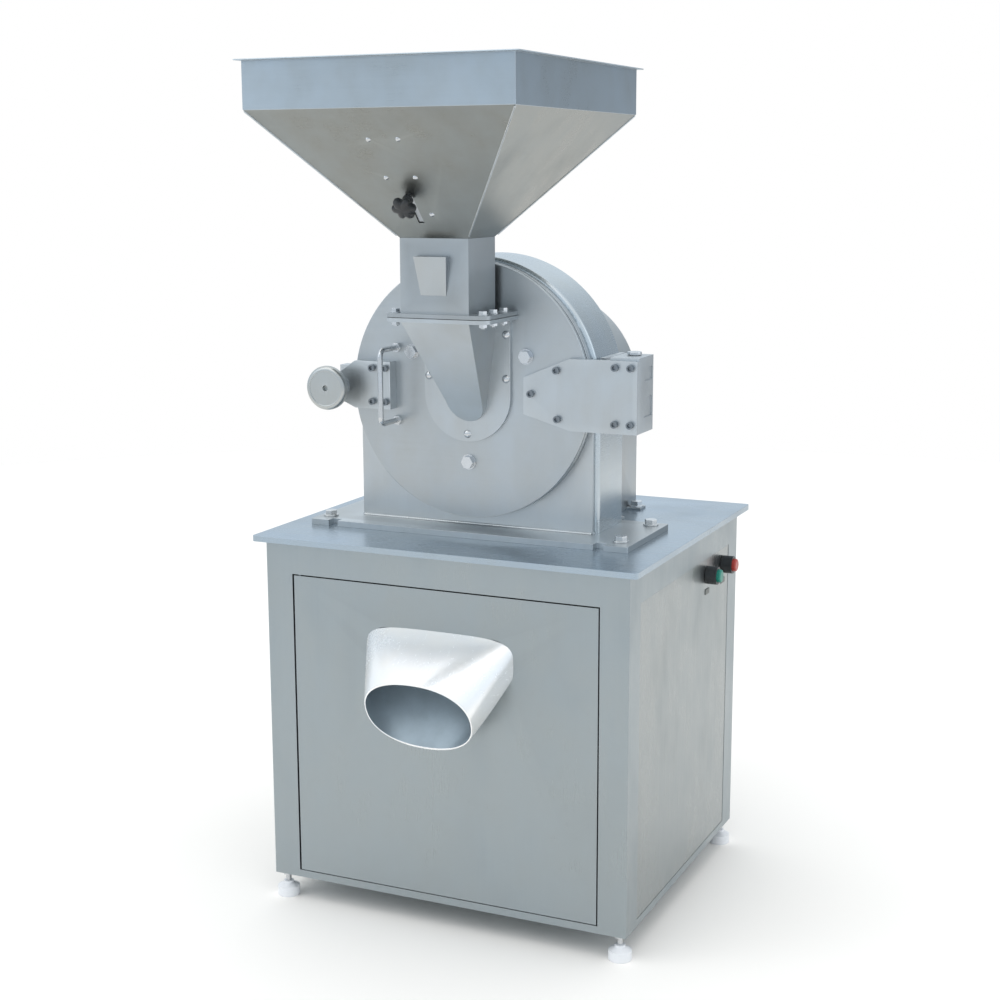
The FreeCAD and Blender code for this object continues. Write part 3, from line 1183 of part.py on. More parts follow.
NODES = {
    "table_top": table_top,
    "cabinet_frame": cabinet_frame,
    "side_panels": side_panels,
    "rear_panel": rear_panel,
    "cabinet_door": cabinet_door,
    "cabinet_door_pivots": cabinet_pivots,
    "discharge_spout": discharge_spout,
    "discharge_duct": discharge_duct,
    "foot_pads": lambda: group([foot_pad(x, y) for x, y in FOOT_SPOTS]),
    "foot_stems": lambda: group([foot_stem(x, y) for x, y in FOOT_SPOTS]),
    "base_plate": base_plate,
    "foot_bolts": foot_bolts,
    "casing_front_plate": casing_front_plate,
    "casing_drum": casing_drum,
    "clamp_lug": clamp_lug,
    "hinge_bracket": hinge_bracket,
    "hinge_pin": hinge_pin,
    "ring_screen": ring_screen,
    "spindle": spindle,
    "rotor_disc": rotor_disc,
    "rotor_ring": rotor_ring,
    "hammer_pins": hammer_pins,
    "hammers_1": lambda: hammers(0),
    "hammers_2": lambda: hammers(1),
    "hammers_3": lambda: hammers(2),
    "hammers_4": lambda: hammers(3),
    "mill_pulley": lambda: grooved_pulley(MILL_PULLEY_R, SPINDLE_NOSE_R, AXIS_Z),
    "motor_pulley": lambda: grooved_pulley(MOTOR_PULLEY_R, MOTOR_SHAFT_R, MOTOR_Z),
    "drive_belts": belts,
    "bearing_housing": bearing_housing,
    "bearings": bearings,
    "belt_guard": belt_guard,
    "motor": motor,
    "motor_shaft": motor_shaft,
    "motor_base": motor_base,
    "mill_door": mill_door,
    "door_gasket": door_gasket,
    "door_liner": door_liner,
    "liner_bolts": liner_bolts,
    "cover_plate": cover_plate,
    "feed_screws": feed_screws,
    "feed_chute": feed_chute,
    "neck_box": neck_box,
    "flange_bolts": flange_bolts,
    "hopper": hopper,
    "gate_rails": gate_rails,
    "gate_plate": gate_plate,
    "gate_knob": gate_knob,
    "door_handle": door_handle,
    "latch_arm": latch_arm,
    "clamp_collar": clamp_collar,
    "clamp_wheel": clamp_wheel,
    "hinge_leaf": hinge_leaf,
    "hinge_block": hinge_block,
    "door_cap_screws": door_cap_screws,
    "button_bodies": button_bodies,
    "start_button": lambda: button_cap(START_Y),
    "stop_button": lambda: button_cap(STOP_Y),
    "control_box": control_box,
    "cable_gland": cable_gland,
}


def save_node(name, shape):
    moved = shape.copy()
    moved.translate(V(ORIGIN).multiply(-1))
    if not moved.isValid():
        print("not valid:", name)
    moved.exportStep("parts/%s.step" % name)


os.makedirs("parts", exist_ok=True)
for node_name, make in NODES.items():
    save_node(node_name, make())
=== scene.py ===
import json
import math

import bmesh
import bpy
from mathutils import Matrix, Vector

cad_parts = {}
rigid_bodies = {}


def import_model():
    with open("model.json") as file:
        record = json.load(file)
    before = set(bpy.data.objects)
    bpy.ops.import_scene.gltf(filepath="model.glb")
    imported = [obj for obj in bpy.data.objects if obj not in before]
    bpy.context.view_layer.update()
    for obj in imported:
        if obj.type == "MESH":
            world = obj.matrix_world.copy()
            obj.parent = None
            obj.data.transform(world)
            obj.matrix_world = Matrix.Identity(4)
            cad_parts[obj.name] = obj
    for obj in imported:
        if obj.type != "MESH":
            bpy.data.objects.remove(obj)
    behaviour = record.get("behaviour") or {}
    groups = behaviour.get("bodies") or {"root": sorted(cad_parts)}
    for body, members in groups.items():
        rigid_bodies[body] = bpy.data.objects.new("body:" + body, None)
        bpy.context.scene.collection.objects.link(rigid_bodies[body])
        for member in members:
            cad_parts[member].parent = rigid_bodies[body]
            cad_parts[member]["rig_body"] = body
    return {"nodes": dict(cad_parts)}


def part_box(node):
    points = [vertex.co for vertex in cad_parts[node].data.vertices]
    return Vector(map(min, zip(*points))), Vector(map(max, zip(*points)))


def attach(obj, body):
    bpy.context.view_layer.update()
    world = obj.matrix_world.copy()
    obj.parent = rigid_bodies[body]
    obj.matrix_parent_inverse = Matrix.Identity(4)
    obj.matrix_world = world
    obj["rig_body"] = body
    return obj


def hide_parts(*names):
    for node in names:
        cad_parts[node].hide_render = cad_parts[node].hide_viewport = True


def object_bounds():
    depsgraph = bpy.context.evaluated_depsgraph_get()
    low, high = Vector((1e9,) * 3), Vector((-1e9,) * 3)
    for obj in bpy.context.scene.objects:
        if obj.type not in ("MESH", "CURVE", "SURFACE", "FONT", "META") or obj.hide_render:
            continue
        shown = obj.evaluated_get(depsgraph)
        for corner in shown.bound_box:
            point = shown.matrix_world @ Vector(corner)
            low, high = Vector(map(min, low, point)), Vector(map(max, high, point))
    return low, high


# Looks of a stainless hammer mill. Units are metres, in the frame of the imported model: x to the right,
# -y towards the discharge spout, z up from the floor.

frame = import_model()
cad_low, cad_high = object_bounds()

MM = 0.001


def box_of(node):
    """Lowest corner, highest corner and middle of a CAD node."""
    low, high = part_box(node)
    return low, high, (low + high) / 2


# ================================================================================================
# materials
# ================================================================================================

class Shader:
    """A material with a Principled shader and short calls for the nodes that feed it."""

    def __init__(self, name):
        self.material = bpy.data.materials.new(name)
        self.material.use_nodes = True
        self.tree = self.material.node_tree
        self.bsdf = self.tree.nodes["Principled BSDF"]
        self.coords = self.tree.nodes.new("ShaderNodeTexCoord").outputs["Object"]

    def link(self, source, socket):
        self.tree.links.new(source, socket)

    def noise(self, scale, detail=2.0, rough=0.5, offset=(0, 0, 0)):
        """Noise in object space; scale is cycles per metre along x, y and z."""
        place = self.tree.nodes.new("ShaderNodeMapping")
        place.inputs["Scale"].default_value = scale
        place.inputs["Location"].default_value = offset
        self.link(self.coords, place.inputs["Vector"])
        texture = self.tree.nodes.new("ShaderNodeTexNoise")
        texture.inputs["Scale"].default_value = 1.0
        texture.inputs["Detail"].default_value = detail
        texture.inputs["Roughness"].default_value = rough
        self.link(place.outputs["Vector"], texture.inputs["Vector"])
        return texture.outputs["Fac"]

    def spread(self, value, low, high, out_low, out_high):
        """Stretch a value from low..high to out_low..out_high, clamped."""
        node = self.tree.nodes.new("ShaderNodeMapRange")
        node.inputs["From Min"].default_value = low
        node.inputs["From Max"].default_value = high
        node.inputs["To Min"].default_value = out_low
        node.inputs["To Max"].default_value = out_high
        self.link(value, node.inputs["Value"])
        return node.outputs["Result"]

    def calc(self, kind, a, b):
        node = self.tree.nodes.new("ShaderNodeMath")
        node.operation = kind
        for socket, value in zip(node.inputs, (a, b)):
            if isinstance(value, (int, float)):
                socket.default_value = value
            else:
                self.link(value, socket)
        return node.outputs["Value"]

    def mix(self, share, a, b):
        """Colour mix: a where share is 0, b where it is 1."""
        node = self.tree.nodes.new("ShaderNodeMix")
        node.data_type = "RGBA"
        colour_in = [s for s in node.inputs if s.type == "RGBA"]
        for socket, value in zip(colour_in, (a, b)):
            if isinstance(value, tuple):
                socket.default_value = (*value, 1.0)
            else:
                self.link(value, socket)
        self.link(share, node.inputs["Factor"])
        return [s for s in node.outputs if s.type == "RGBA"][0]

    def bump(self, height, distance, strength=1.0):
        node = self.tree.nodes.new("ShaderNodeBump")
        node.inputs["Distance"].default_value = distance
        node.inputs["Strength"].default_value = strength
        self.link(height, node.inputs["Height"])
        self.link(node.outputs["Normal"], self.bsdf.inputs["Normal"])

    def edges(self, low=0.52, high=0.62):
        """1 along convex edges, 0 on flats."""
        geometry = self.tree.nodes.new("ShaderNodeNewGeometry")
        return self.spread(geometry.outputs["Pointiness"], low, high, 0.0, 1.0)


def shade(colour, factor):
    return tuple(min(1.0, c * factor) for c in colour)


def grain_scale(axis, across, along):
    """Noise scale that makes lines run along one axis."""
    return tuple(along if i == axis else across for i in range(3))


X, Y, Z = 0, 1, 2


def steel(name, colour, rough, axis=Z, grain=1.0, cloud=1.0, wear=1.0, relief=0.00006, metallic=1.0):
    """Brushed stainless steel: fine lines along axis, cloudy polish, handling marks and a painted highlight
    on convex edges.
    """
    s = Shader(name)
    fine = s.noise(grain_scale(axis, 1500.0, 30.0), 2.0, 0.6)
    streak = s.noise(grain_scale(axis, 260.0, 5.0), 3.0, 0.65, (3.1, 7.7, 1.3))
    mottle = s.noise((26.0, 26.0, 18.0), 3.0, 0.55, (9.0, 2.0, 5.0))
    clouds = s.noise((3.4, 3.4, 2.4), 4.0, 0.52, (1.0, 4.0, 2.0))
    marks = s.spread(s.noise((9.0, 9.0, 5.0), 3.0, 0.5, (5.0, 1.0, 8.0)), 0.52, 0.78, 0.0, 1.0)
    lines = s.calc("ADD", s.calc("MULTIPLY", fine, 0.5), s.calc("MULTIPLY", streak, 0.5))
    line_tone = s.spread(lines, 0.34, 0.66, 0.0, 1.0)
    cloud_tone = s.spread(s.calc("ADD", s.calc("MULTIPLY", clouds, 0.65), s.calc("MULTIPLY", mottle, 0.35)),
                          0.36, 0.64, 0.0, 1.0)
    warm = tuple(c * k for c, k in zip(shade(colour, 1.0 - 0.075 * cloud), (1.03, 1.0, 0.955)))
    cool = tuple(c * k for c, k in zip(shade(colour, 1.0 + 0.075 * cloud), (0.97, 1.0, 1.035)))
    base = s.mix(cloud_tone, warm, cool)
    base = s.mix(s.calc("MULTIPLY", line_tone, 0.30 * grain), base, shade(colour, 1.16))
    base = s.mix(s.calc("MULTIPLY", marks, 0.22 * wear), base, shade(colour, 0.80))
    # painted highlight: convex edges lighter, standing in for the light they catch
    base = s.mix(s.calc("MULTIPLY", s.edges(), 0.65), base, shade(colour, 1.45))
    s.link(base, s.bsdf.inputs["Base Color"])
    roughness = s.calc("ADD", rough, s.calc("MULTIPLY", s.calc("SUBTRACT", line_tone, 0.5), 0.10 * grain))
    cloud_swing = s.calc("MULTIPLY", s.calc("SUBTRACT", cloud_tone, 0.5), 0.10 * cloud)
    roughness = s.calc("ADD", roughness, cloud_swing)
    roughness = s.calc("ADD", roughness, s.calc("MULTIPLY", marks, 0.10 * wear))
    s.link(roughness, s.bsdf.inputs["Roughness"])
    height = s.calc("ADD", s.calc("MULTIPLY", lines, 0.5 * grain), s.calc("MULTIPLY", mottle, 0.35 * cloud))
    if relief:
        s.bump(height, relief)
    s.bsdf.inputs["Metallic"].default_value = metallic
    return s.material


def painted(name, colour, rough, fleck=0.05, peel=0.0002, metallic=0.0):
    """Paint, casting or moulded plastic: slight tone changes, a fine skin texture and worn edges."""
    s = Shader(name)
    tone = s.noise((14.0, 14.0, 14.0), 5.0, 0.6)
    skin = s.noise((900.0, 900.0, 900.0), 2.0, 0.5, (4.0, 4.0, 4.0))
    base = s.mix(s.spread(tone, 0.35, 0.65, 0.0, 1.0), shade(colour, 1.0 - fleck), shade(colour, 1.0 + fleck))
    rubbed = tuple(c + 0.12 for c in shade(colour, 1.15))
    base = s.mix(s.calc("MULTIPLY", s.edges(0.53, 0.66), 0.35), base, rubbed)
    s.link(base, s.bsdf.inputs["Base Color"])
    roughness = s.calc("ADD", rough, s.calc("MULTIPLY", s.calc("SUBTRACT", tone, 0.5), 0.25))
    s.link(roughness, s.bsdf.inputs["Roughness"])
    s.bump(skin, peel)
    s.bsdf.inputs["Metallic"].default_value = metallic
    return s.material


def make_materials():
    cool = (0.455, 0.480, 0.495)
    return {
        "cabinet": steel("cabinet_steel", (0.262, 0.292, 0.306), 0.36, Z, 1.2, 1.7),
        "cabinet_side": steel("cabinet_side_steel", (0.265, 0.285, 0.288), 0.30, Z, 1.2, 1.6),
        "table": steel("table_steel", (0.350, 0.415, 0.475), 0.26, X, 0.6, 0.45),
        "casing": steel("casing_steel", cool, 0.36, Z),
        "drum": steel("drum_steel", (0.50, 0.55, 0.585), 0.26, Y, 0.5, 0.4, 0.4, 0.0),
        "disc": steel("door_steel", (0.425, 0.450, 0.465), 0.35, X),
        # hopper band and slopes: lit and shaded copies of one steel, the slopes darker as painted shade
        "band": steel("hopper_band_steel", (0.375, 0.425, 0.465), 0.33, X, 0.8),
        "hopper": steel("hopper_steel", (0.262, 0.272, 0.262), 0.33, X, 0.8, 1.8),
        "neck": steel("neck_steel", (0.355, 0.375, 0.385), 0.33, Z, 0.8, 1.3),
        # spout's outside: base colour raised near white, painted light
        "spout": steel("spout_steel", (0.96, 0.965, 0.97), 0.26, Y, 0.3, 0.2, 0.2, 0.0, 0.6),
        # darker paint for the duct and the spout's inner skin: painted shade inside the spout
        "duct": painted("duct_painted_shade", (0.34, 0.41, 0.46), 0.40, 0.12, 0.0001, 0.35),
        "weld": steel("weld_steel", (0.46, 0.48, 0.49), 0.30, X, 0.4, 1.6, 1.4),
        "bright": steel("bright_steel", (0.56, 0.575, 0.59), 0.25, X, 0.2, 0.3, 0.4),
        "wheel": steel("wheel_steel", (0.455, 0.475, 0.475), 0.33, Z, 0.5, 0.6),
        "screw": steel("cap_screw_steel", (0.20, 0.22, 0.24), 0.30, Y, 0.3, 0.4),
        "plain": steel("plain_steel", (0.42, 0.43, 0.44), 0.34, Y, 0.6),
        "hammer": steel("hammer_steel", (0.27, 0.27, 0.275), 0.42, Z, 0.8, 1.4, 1.6),
        "cast": painted("cast_grey", (0.20, 0.215, 0.23), 0.55, 0.10, 0.0006, 0.35),
        "motor": painted("motor_paint", (0.10, 0.15, 0.20), 0.42, 0.06, 0.0003),
        "box": painted("box_paint", (0.55, 0.55, 0.53), 0.50, 0.03, 0.0004),
        "nylon": painted("foot_plastic", (0.80, 0.81, 0.83), 0.42, 0.03, 0.0002),
        "black": painted("black_plastic", (0.016, 0.018, 0.020), 0.34, 0.30, 0.0002),
        "green": painted("green_plastic", (0.010, 0.20, 0.15), 0.30, 0.06, 0.0001),
        "red": painted("red_plastic", (0.40, 0.045, 0.035), 0.30, 0.06, 0.0001),
        "label": painted("label_plate", (0.12, 0.13, 0.12), 0.42, 0.06, 0.0001),
        "belt": painted("belt_rubber", (0.018, 0.018, 0.019), 0.70, 0.25, 0.0005),
        "gasket": painted("gasket_rubber", (0.42, 0.42, 0.40), 0.62, 0.06, 0.0003),
    }


MATERIALS = make_materials()


# ================================================================================================
# mesh helpers
# ================================================================================================

def make_piece(name, bm, material, body, replaced=(), smooth_angle=35.0):
    """Turn a bmesh into a piece that rides on a body and stands for CAD nodes."""
    bmesh.ops.recalc_face_normals(bm, faces=bm.faces)
    mesh = bpy.data.meshes.new(name)
    bm.to_mesh(mesh)
    bm.free()
    mesh.materials.append(MATERIALS[material])
    mesh.shade_smooth()
    mesh.set_sharp_from_angle(angle=math.radians(smooth_angle))
    piece = bpy.data.objects.new(name, mesh)
    bpy.context.scene.collection.objects.link(piece)
    keep_flats_flat = piece.modifiers.new("normals", "WEIGHTED_NORMAL")
    keep_flats_flat.keep_sharp = True
    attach(piece, body)
    if replaced:
        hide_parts(*replaced)
    return piece


def body_of(node):
    return frame["nodes"][node]["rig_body"]


def cad_bmesh(node):
    """The CAD node's mesh as a closed bmesh with its flat faces joined."""
    bm = bmesh.new()
    bm.from_mesh(frame["nodes"][node].data)
    bmesh.ops.remove_doubles(bm, verts=bm.verts, dist=2e-6)
    bmesh.ops.dissolve_limit(bm, angle_limit=math.radians(0.4), verts=bm.verts, edges=bm.edges)
    return bm


def rounded_node(node, material, radius, segments=2, crease=30.0, shortest=0.0):
    """Copy of a CAD node with its sharp edges rounded, as a finished sheet or machined part has them."""
    bm = cad_bmesh(node)
    limit = math.radians(crease)
    sharp = [e for e in bm.edges
             if e.is_manifold and e.calc_face_angle(0.0) > limit and e.calc_length() > shortest]
    bmesh.ops.bevel(bm, geom=sharp, offset=radius, offset_type="OFFSET", segments=segments, profile=0.5,
                    affect="EDGES", clamp_overlap=True)
    return make_piece(node + "_finished", bm, material, body_of(node), (node,), 26.0)


def add_rings(bm, rings):
    """Skin a list of rings of points (same count each) and close both ends."""
    made = [[bm.verts.new(p) for p in ring] for ring in rings]
    count = len(made[0])
    for near, far in zip(made, made[1:]):
        for i in range(count):
            j = (i + 1) % count
            bm.faces.new((near[i], near[j], far[j], far[i]))
    bm.faces.new(made[0][::-1])
    bm.faces.new(made[-1])


def lathe(bm, place, profile, segments=64, lobes=0, lobe_depth=0.0):
    """Solid of revolution round the Z axis of place, with lobes if asked; profile is (radius, height)."""
    rings = []
    for r, h in profile:
        ring = []
        for i in range(segments):
            a = 2 * math.pi * i / segments
            scale = 1.0 - lobe_depth * (0.5 - 0.5 * math.cos(lobes * a)) ** 1.5
            ring.append(place @ Vector((r * scale * math.cos(a), r * scale * math.sin(a), h)))
        rings.append(ring)
    add_rings(bm, rings)


def bead(bm, points, radius, pitch=0.0045, sides=8):
    """Weld bead along a line of points, with the ripples a welder's torch leaves."""
    spacing = pitch / 3
    path = [Vector(points[0])]
    for a, b in zip(points, points[1:]):
        a, b = Vector(a), Vector(b)
        steps = max(1, round((b - a).length / spacing))
        path += [a.lerp(b, (k + 1) / steps) for k in range(steps)]
    rings = []
    for i, centre in enumerate(path):
        ahead = path[min(i + 1, len(path) - 1)] - path[max(i - 1, 0)]
        ahead.normalize()
        side = ahead.orthogonal().normalized()
        if abs(ahead.x) < 0.9:
            side = ahead.cross(Vector((1, 0, 0))).normalized()
        up = ahead.cross(side)
        r = radius * (1.0 + 0.10 * math.sin(2 * math.pi * i / 3.0) + 0.06 * math.sin(i * 0.37))
        rings.append([centre + (side * math.cos(t) + up * math.sin(t)) * r
                      for t in [2 * math.pi * k / sides for k in range(sides)]])
    add_rings(bm, rings)


def facing(origin, direction):
    """Matrix that puts local Z along direction at origin."""
    turn = Vector(direction).to_track_quat("Z", "Y").to_matrix().to_4x4()
    return Matrix.Translation(Vector(origin)) @ turn


# ================================================================================================
# pieces
# ================================================================================================

# nodes whose CAD mesh is shown as it is
KEPT = {
    "cabinet_frame": "cabinet",
    "side_panels": "cabinet_side",
    "rear_panel": "cabinet",
    "cabinet_door": "cabinet",
}

# node: (material, edge radius in mm)
FINISH = {
    "table_top": ("table", 1.4),
    "cabinet_door_pivots": ("plain", 0.4),
    "discharge_duct": ("duct", 0.5),
    "foot_pads": ("nylon", 1.0),
    "foot_stems": ("bright", 0.3),
    "base_plate": ("casing", 1.2),
    "foot_bolts": ("bright", 0.6),
    "casing_front_plate": ("casing", 1.0),
    "casing_drum": ("drum", 1.2),
    "clamp_lug": ("casing", 1.0),
    "hinge_bracket": ("casing", 1.0),
    "hinge_pin": ("bright", 0.8),
    "ring_screen": ("plain", 0.2),
    "spindle": ("plain", 0.8),
    "rotor_disc": ("plain", 0.8),
    "rotor_ring": ("plain", 0.8),
    "hammer_pins": ("plain", 0.5),
    "hammers_1": ("hammer", 0.6),
    "hammers_2": ("hammer", 0.6),
    "hammers_3": ("hammer", 0.6),
    "hammers_4": ("hammer", 0.6),
    "mill_pulley": ("cast", 0.5),
    "motor_pulley": ("cast", 0.5),
    "drive_belts": ("belt", 1.0),
    "bearing_housing": ("cast", 2.0),
    "bearings": ("bright", 0.3),
    "belt_guard": ("casing", 0.7),
    "motor": ("motor", 0.6),
    "motor_shaft": ("plain", 0.5),
    "motor_base": ("plain", 1.0),
    "mill_door": ("disc", 1.8),
    "door_gasket": ("gasket", 0.6),
    "door_liner": ("hammer", 0.8),
    "liner_bolts": ("bright", 0.8),
    "cover_plate": ("casing", 0.8),
    "feed_screws": ("bright", 0.1),
    "feed_chute": ("casing", 0.7),
    "flange_bolts": ("bright", 0.5),
    "gate_rails": ("plain", 0.4),
    "gate_plate": ("plain", 0.4),
    "door_handle": ("bright", 0.5),
    "latch_arm": ("casing", 1.0),
    "clamp_collar": ("bright", 0.8),
    "clamp_wheel": ("wheel", 0.8),
    "hinge_leaf": ("casing", 1.0),
    "hinge_block": ("casing", 1.2),
    "door_cap_screws": ("screw", 0.4),
    "button_bodies": ("black", 0.8),
    "start_button": ("green", 0.6),
    "stop_button": ("red", 0.6),
    "control_box": ("box", 1.0),
    "cable_gland": ("black", 0.6),
}

HOPPER_LOW, HOPPER_HIGH, _ = box_of("hopper")
HOPPER_LIP = 9 * MM
BAND_HEIGHT = 76 * MM
BAND_Z = HOPPER_HIGH.z - BAND_HEIGHT
# the neck's sides, each measured from the hopper's wall above it
NECK_LEFT, NECK_RIGHT = HOPPER_LOW.x + HOPPER_LIP + 167.5 * MM, HOPPER_HIGH.x - HOPPER_LIP - 169 * MM
NECK_FRONT, NECK_BACK = HOPPER_LOW.y + HOPPER_LIP + 194 * MM, HOPPER_HIGH.y - HOPPER_LIP - 207 * MM
# out of the hopper's front slope
SLOPE_OUT = (0.0, -(BAND_Z - HOPPER_LOW.z), -(NECK_FRONT - HOPPER_LOW.y - HOPPER_LIP))
KNOB_HALF = 14.5 * MM
KNOB_LOBES, KNOB_LOBE_DEPTH = 6, 0.26
# (radius, height) in mm from the hub's foot to the dome
KNOB_HUB = [(0.2, 0.0), (8.6, 0.0), (9.0, 1), (9.0, 14), (0.2, 14)]
KNOB_HEAD = [(0.4, 13.4), (14, 13.4), (18.5, 14.6), (20.6, 17.5), (20.9, 21), (20.2, 24.5), (18, 27),
             (13, 28.0), (6, 28.3), (0.4, 28.4)]
SHEET_EDGE = 0.7 * MM
HOLE_EDGE = 6 * MM                      # edges up to this length belong to screw holes and stay sharp
CORNER_BEAD, FOOT_BEAD = 1.5 * MM, 2.2 * MM
LABEL_DROP, LABEL_HALF_W, LABEL_HALF_H, LABEL_CORNER = 30.0, 9.0, 3.0, 2.0


def finish_hopper():
    """Hopper with its slopes in a darker copy of the upright band's steel as painted shade, and a weld bead
    down each sloping corner.
    """
    piece = rounded_node("hopper", "hopper", SHEET_EDGE, shortest=HOLE_EDGE)
    piece.data.materials.append(MATERIALS["band"])
    for polygon in piece.data.polygons:
        if polygon.center.z > BAND_Z - 1 * MM:
            polygon.material_index = 1
    bm = bmesh.new()
    for x, top_x in ((NECK_LEFT, HOPPER_LOW.x + HOPPER_LIP), (NECK_RIGHT, HOPPER_HIGH.x - HOPPER_LIP)):
        for y, top_y in ((NECK_FRONT, HOPPER_LOW.y + HOPPER_LIP), (NECK_BACK, HOPPER_HIGH.y - HOPPER_LIP)):
            foot, top = Vector((x, y, HOPPER_LOW.z)), Vector((top_x, top_y, BAND_Z))
            bead(bm, [foot.lerp(top, 0.02), foot.lerp(top, 0.99)], CORNER_BEAD)
    make_piece("hopper_corner_welds", bm, "weld", body_of("hopper"))


def finish_neck():
    """Square neck whose small pocket takes the hopper slopes' darker copy of the steel, painted shade."""
    piece = rounded_node("neck_box", "neck", SHEET_EDGE)
    piece.data.materials.append(MATERIALS["hopper"])
    flange_top = box_of("neck_box")[0].z + 30 * MM
    # faces of the pocket above the flange get the darker copy: painted shade
    for polygon in piece.data.polygons:
        if polygon.center.z > flange_top and polygon.center.y < NECK_FRONT - 8 * MM:
            polygon.material_index = 1


def finish_knob():
    """Six-lobed star knob with a domed face on a round neck."""
    low, high, _ = box_of("gate_knob")
    slope = Vector(SLOPE_OUT).normalized()
    middle = (low + high) / 2
    back = middle - slope * KNOB_HALF
    place = facing(back, slope)
    bm = bmesh.new()
    lathe(bm, place, [(r * MM, h * MM) for r, h in KNOB_HUB], 48)
    lathe(bm, place, [(r * MM, h * MM) for r, h in KNOB_HEAD], 144, KNOB_LOBES, KNOB_LOBE_DEPTH)
    make_piece("star_knob", bm, "black", body_of("gate_knob"), ("gate_knob",), 50.0)


def weld_casing_foot():
    """Weld bead where the casing's front plate stands on the base plate."""
    low, high, _ = box_of("casing_front_plate")
    foot = low.z + 1.0 * MM
    bm = bmesh.new()
    bead(bm, [(low.x + 2 * MM, low.y, foot), (high.x - 2 * MM, low.y, foot)], FOOT_BEAD)
    bead(bm, [(high.x, low.y + 2 * MM, foot), (high.x, high.y - 2 * MM, foot)], FOOT_BEAD)
    bead(bm, [(low.x, low.y + 2 * MM, foot), (low.x, high.y - 2 * MM, foot)], FOOT_BEAD)
    make_piece("casing_foot_welds", bm, "weld", body_of("casing_front_plate"))


def make_label_plates():
    """Blank round-cornered plates under the two buttons."""
    side = box_of("cabinet_frame")[1].x
    bm = bmesh.new()
    for button in ("start_button", "stop_button"):
        middle = box_of(button)[2]
        rings = []
        for inset, height in ((0.0, -0.4), (0.0, 0.5), (0.4, 0.9)):
            ring = []
            for quarter in range(4):
                sy, sz = ((1, 1), (-1, 1), (-1, -1), (1, -1))[quarter]
                for k in range(5):
                    a = math.pi / 2 * (quarter + k / 4)
                    r = LABEL_CORNER - inset
                    ring.append(Vector((side + height * MM,
                                        middle.y + (sy * LABEL_HALF_W + r * math.cos(a)) * MM,
                                        middle.z + (sz * LABEL_HALF_H + r * math.sin(a) - LABEL_DROP) * MM)))
            rings.append(ring)
        add_rings(bm, rings)
    make_piece("label_plates", bm, "label", body_of("cabinet_frame"))


def finish_spout():
    """Polished spout, its outside near white as painted light, its inner skin darker as painted shade."""
    piece = rounded_node("discharge_spout", "spout", 0.6 * MM, 3)
    piece.data.materials.append(MATERIALS["duct"])
    low, high, middle = box_of("discharge_spout")
    for polygon in piece.data.polygons:
        axis = Vector((middle.x, polygon.center.y, 0.0))
        share = (high.y - polygon.center.y) / (high.y - low.y)
        axis.z = (high.z - 58 * MM) * (1.0 - share) + (low.z + 64 * MM) * share
        # faces turned towards the spout's axis get the darker duct paint: painted shade
        if polygon.normal.dot(polygon.center - axis) < -0.2 * (polygon.center - axis).length:
            polygon.material_index = 1


for cad_node, (finish, edge_mm) in FINISH.items():
    rounded_node(cad_node, finish, edge_mm * MM)
for cad_node, finish in KEPT.items():
    for slot in frame["nodes"][cad_node].material_slots:
        slot.material = MATERIALS[finish]
finish_hopper()
finish_neck()
finish_knob()
finish_spout()
make_label_plates()
weld_casing_foot()


# ================================================================================================
# stage, camera and light
# ================================================================================================

_, TABLE_HIGH, TABLE_MID = box_of("table_top")


def make_floor():
    """Pale round floor."""
    radius = 5.0
    bm = bmesh.new()
    bmesh.ops.create_circle(bm, cap_ends=True, radius=radius, segments=96)
    mesh = bpy.data.meshes.new("floor")
    bm.to_mesh(mesh)
    bm.free()
    s = Shader("floor_paint")
    s.bsdf.inputs["Base Color"].default_value = (0.94, 0.915, 0.88, 1.0)
    s.bsdf.inputs["Roughness"].default_value = 0.85
    mesh.materials.append(s.material)
    floor = bpy.data.objects.new("floor", mesh)
    bpy.context.scene.collection.objects.link(floor)


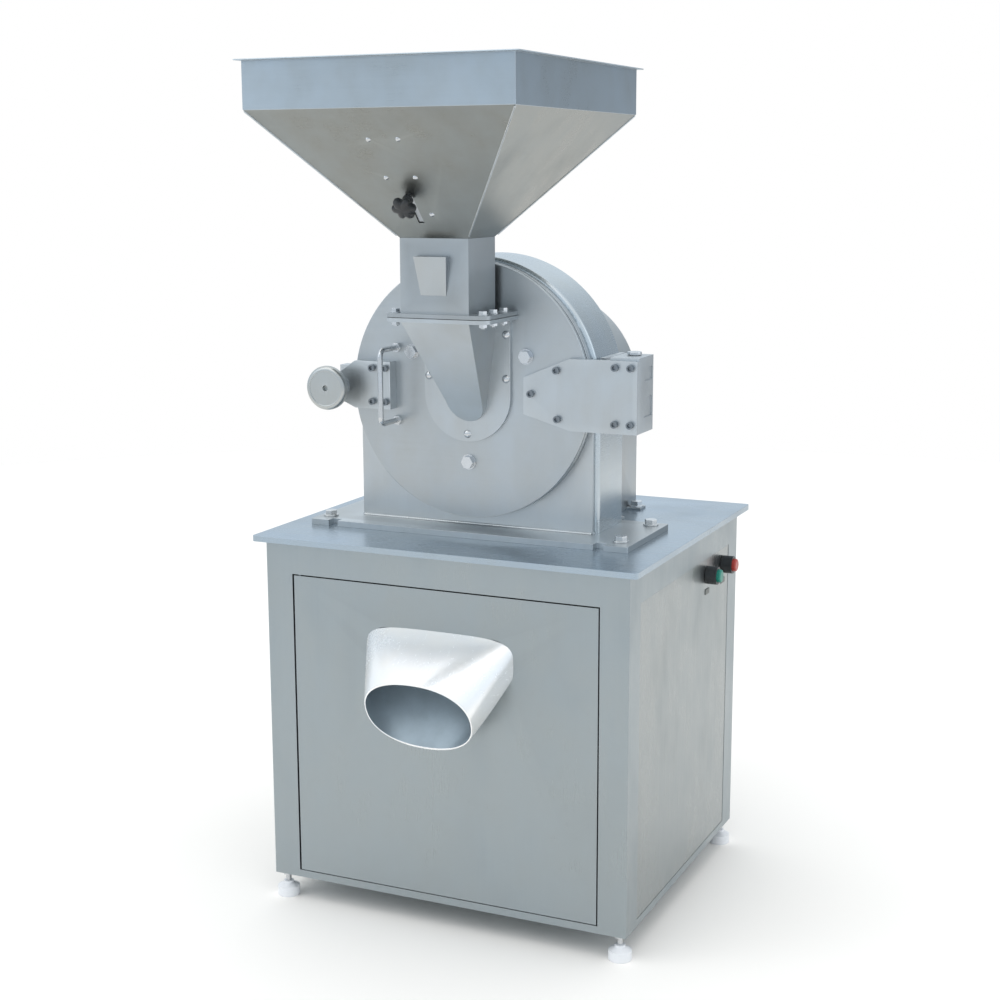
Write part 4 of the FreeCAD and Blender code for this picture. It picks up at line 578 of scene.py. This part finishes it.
def make_world():
    """Soft studio: a pale backdrop for the camera, a cool gradient for reflections."""
    world = bpy.data.worlds.new("studio")
    world.use_nodes = True
    bpy.context.scene.world = world
    tree = world.node_tree
    background = tree.nodes["Background"]
    coords = tree.nodes.new("ShaderNodeTexCoord")
    split = tree.nodes.new("ShaderNodeSeparateXYZ")
    ramp = tree.nodes.new("ShaderNodeValToRGB")
    tree.links.new(coords.outputs["Generated"], split.inputs["Vector"])
    height = tree.nodes.new("ShaderNodeMapRange")
    height.inputs["From Min"].default_value = -1.0
    height.inputs["From Max"].default_value = 1.0
    tree.links.new(split.outputs["Z"], height.inputs["Value"])
    tree.links.new(height.outputs["Result"], ramp.inputs["Fac"])
    stops = [(0.0, (0.75, 0.75, 0.75)), (0.40, (0.76, 0.81, 0.86)), (0.54, (0.78, 0.88, 0.98)),
             (0.72, (0.90, 0.99, 1.06)), (0.88, (1.10, 1.12, 1.14)),
             (1.0, (1.20, 1.20, 1.20))]
    elements = ramp.color_ramp.elements
    while len(elements) < len(stops):
        elements.new(0.5)
    for element, (place, colour) in zip(elements, stops):
        element.position = place
        element.color = (*colour, 1.0)
    flag = tree.nodes.new("ShaderNodeVectorMath")
    flag.operation = "DOT_PRODUCT"
    flag.inputs[1].default_value = (0.415, 0.910, 0.0)
    tree.links.new(coords.outputs["Generated"], flag.inputs[0])
    shade_map = tree.nodes.new("ShaderNodeMapRange")
    shade_map.inputs["From Min"].default_value = 0.80
    shade_map.inputs["From Max"].default_value = 0.97
    shade_map.inputs["To Min"].default_value = 1.0
    shade_map.inputs["To Max"].default_value = 0.55
    tree.links.new(flag.outputs["Value"], shade_map.inputs["Value"])
    darker = tree.nodes.new("ShaderNodeVectorMath")
    darker.operation = "SCALE"
    tree.links.new(ramp.outputs["Color"], darker.inputs["Vector"])
    tree.links.new(shade_map.outputs["Result"], darker.inputs["Scale"])
    light_path = tree.nodes.new("ShaderNodeLightPath")
    choose = tree.nodes.new("ShaderNodeMix")
    choose.data_type = "RGBA"
    colour_in = [s for s in choose.inputs if s.type == "RGBA"]
    tree.links.new(light_path.outputs["Is Camera Ray"], choose.inputs["Factor"])
    tree.links.new(darker.outputs["Vector"], colour_in[0])
    colour_in[1].default_value = (1.0, 1.0, 1.0, 1.0)
    tree.links.new([s for s in choose.outputs if s.type == "RGBA"][0], background.inputs["Color"])
    background.inputs["Strength"].default_value = 1.0


def aim(thing, target):
    direction = Vector(target) - thing.location
    thing.rotation_mode = "QUATERNION"
    thing.rotation_quaternion = direction.to_track_quat("-Z", "Y")


def area_light(name, place, target, size, power):
    light = bpy.data.lights.new(name, "AREA")
    light.shape = "RECTANGLE"
    light.size, light.size_y = size
    light.energy = power
    lamp = bpy.data.objects.new(name, light)
    lamp.location = place
    bpy.context.scene.collection.objects.link(lamp)
    aim(lamp, target)


def make_lights():
    middle = (cad_low + cad_high) / 2
    sun = bpy.data.lights.new("soft_sun", "SUN")
    sun.energy = 0.35
    sun.angle = math.radians(50)
    lamp = bpy.data.objects.new("soft_sun", sun)
    lamp.location = (-1.5, -2.5, 5.0)
    bpy.context.scene.collection.objects.link(lamp)
    aim(lamp, (0.0, 0.0, 0.0))
    area_light("top_box", (0.2, -0.4, 3.4), middle, (2.6, 2.6), 9.0)
    area_light("left_box", (-2.6, -2.2, 2.4), middle, (1.2, 2.4), 9.0)
    area_light("right_box", (3.2, 0.6, 1.8), middle, (1.6, 2.6), 7.0)


def make_camera():
    """Three-quarter view from the front right, a little above the table."""
    azimuth, elevation, roll = math.radians(24.517), math.radians(10.929), math.radians(-0.173)
    table_centre = Vector((TABLE_MID.x, TABLE_MID.y, TABLE_HIGH.z))
    camera_data = bpy.data.cameras.new("camera")
    camera_data.sensor_width = 36.0
    camera_data.lens = 60.76
    camera = bpy.data.objects.new("camera", camera_data)
    camera.location = table_centre + Vector((1.20934, -2.69986, 0.60595))
    ahead = Vector((-math.sin(azimuth) * math.cos(elevation), math.cos(azimuth) * math.cos(elevation),
                    -math.sin(elevation)))
    camera.rotation_mode = "QUATERNION"
    turn = Matrix.Rotation(roll, 3, "Z").to_quaternion()
    camera.rotation_quaternion = ahead.to_track_quat("-Z", "Y") @ turn
    bpy.context.scene.collection.objects.link(camera)
    bpy.context.scene.camera = camera


make_floor()
make_world()
make_lights()
make_camera()
bpy.context.scene.view_settings.view_transform = "Standard"
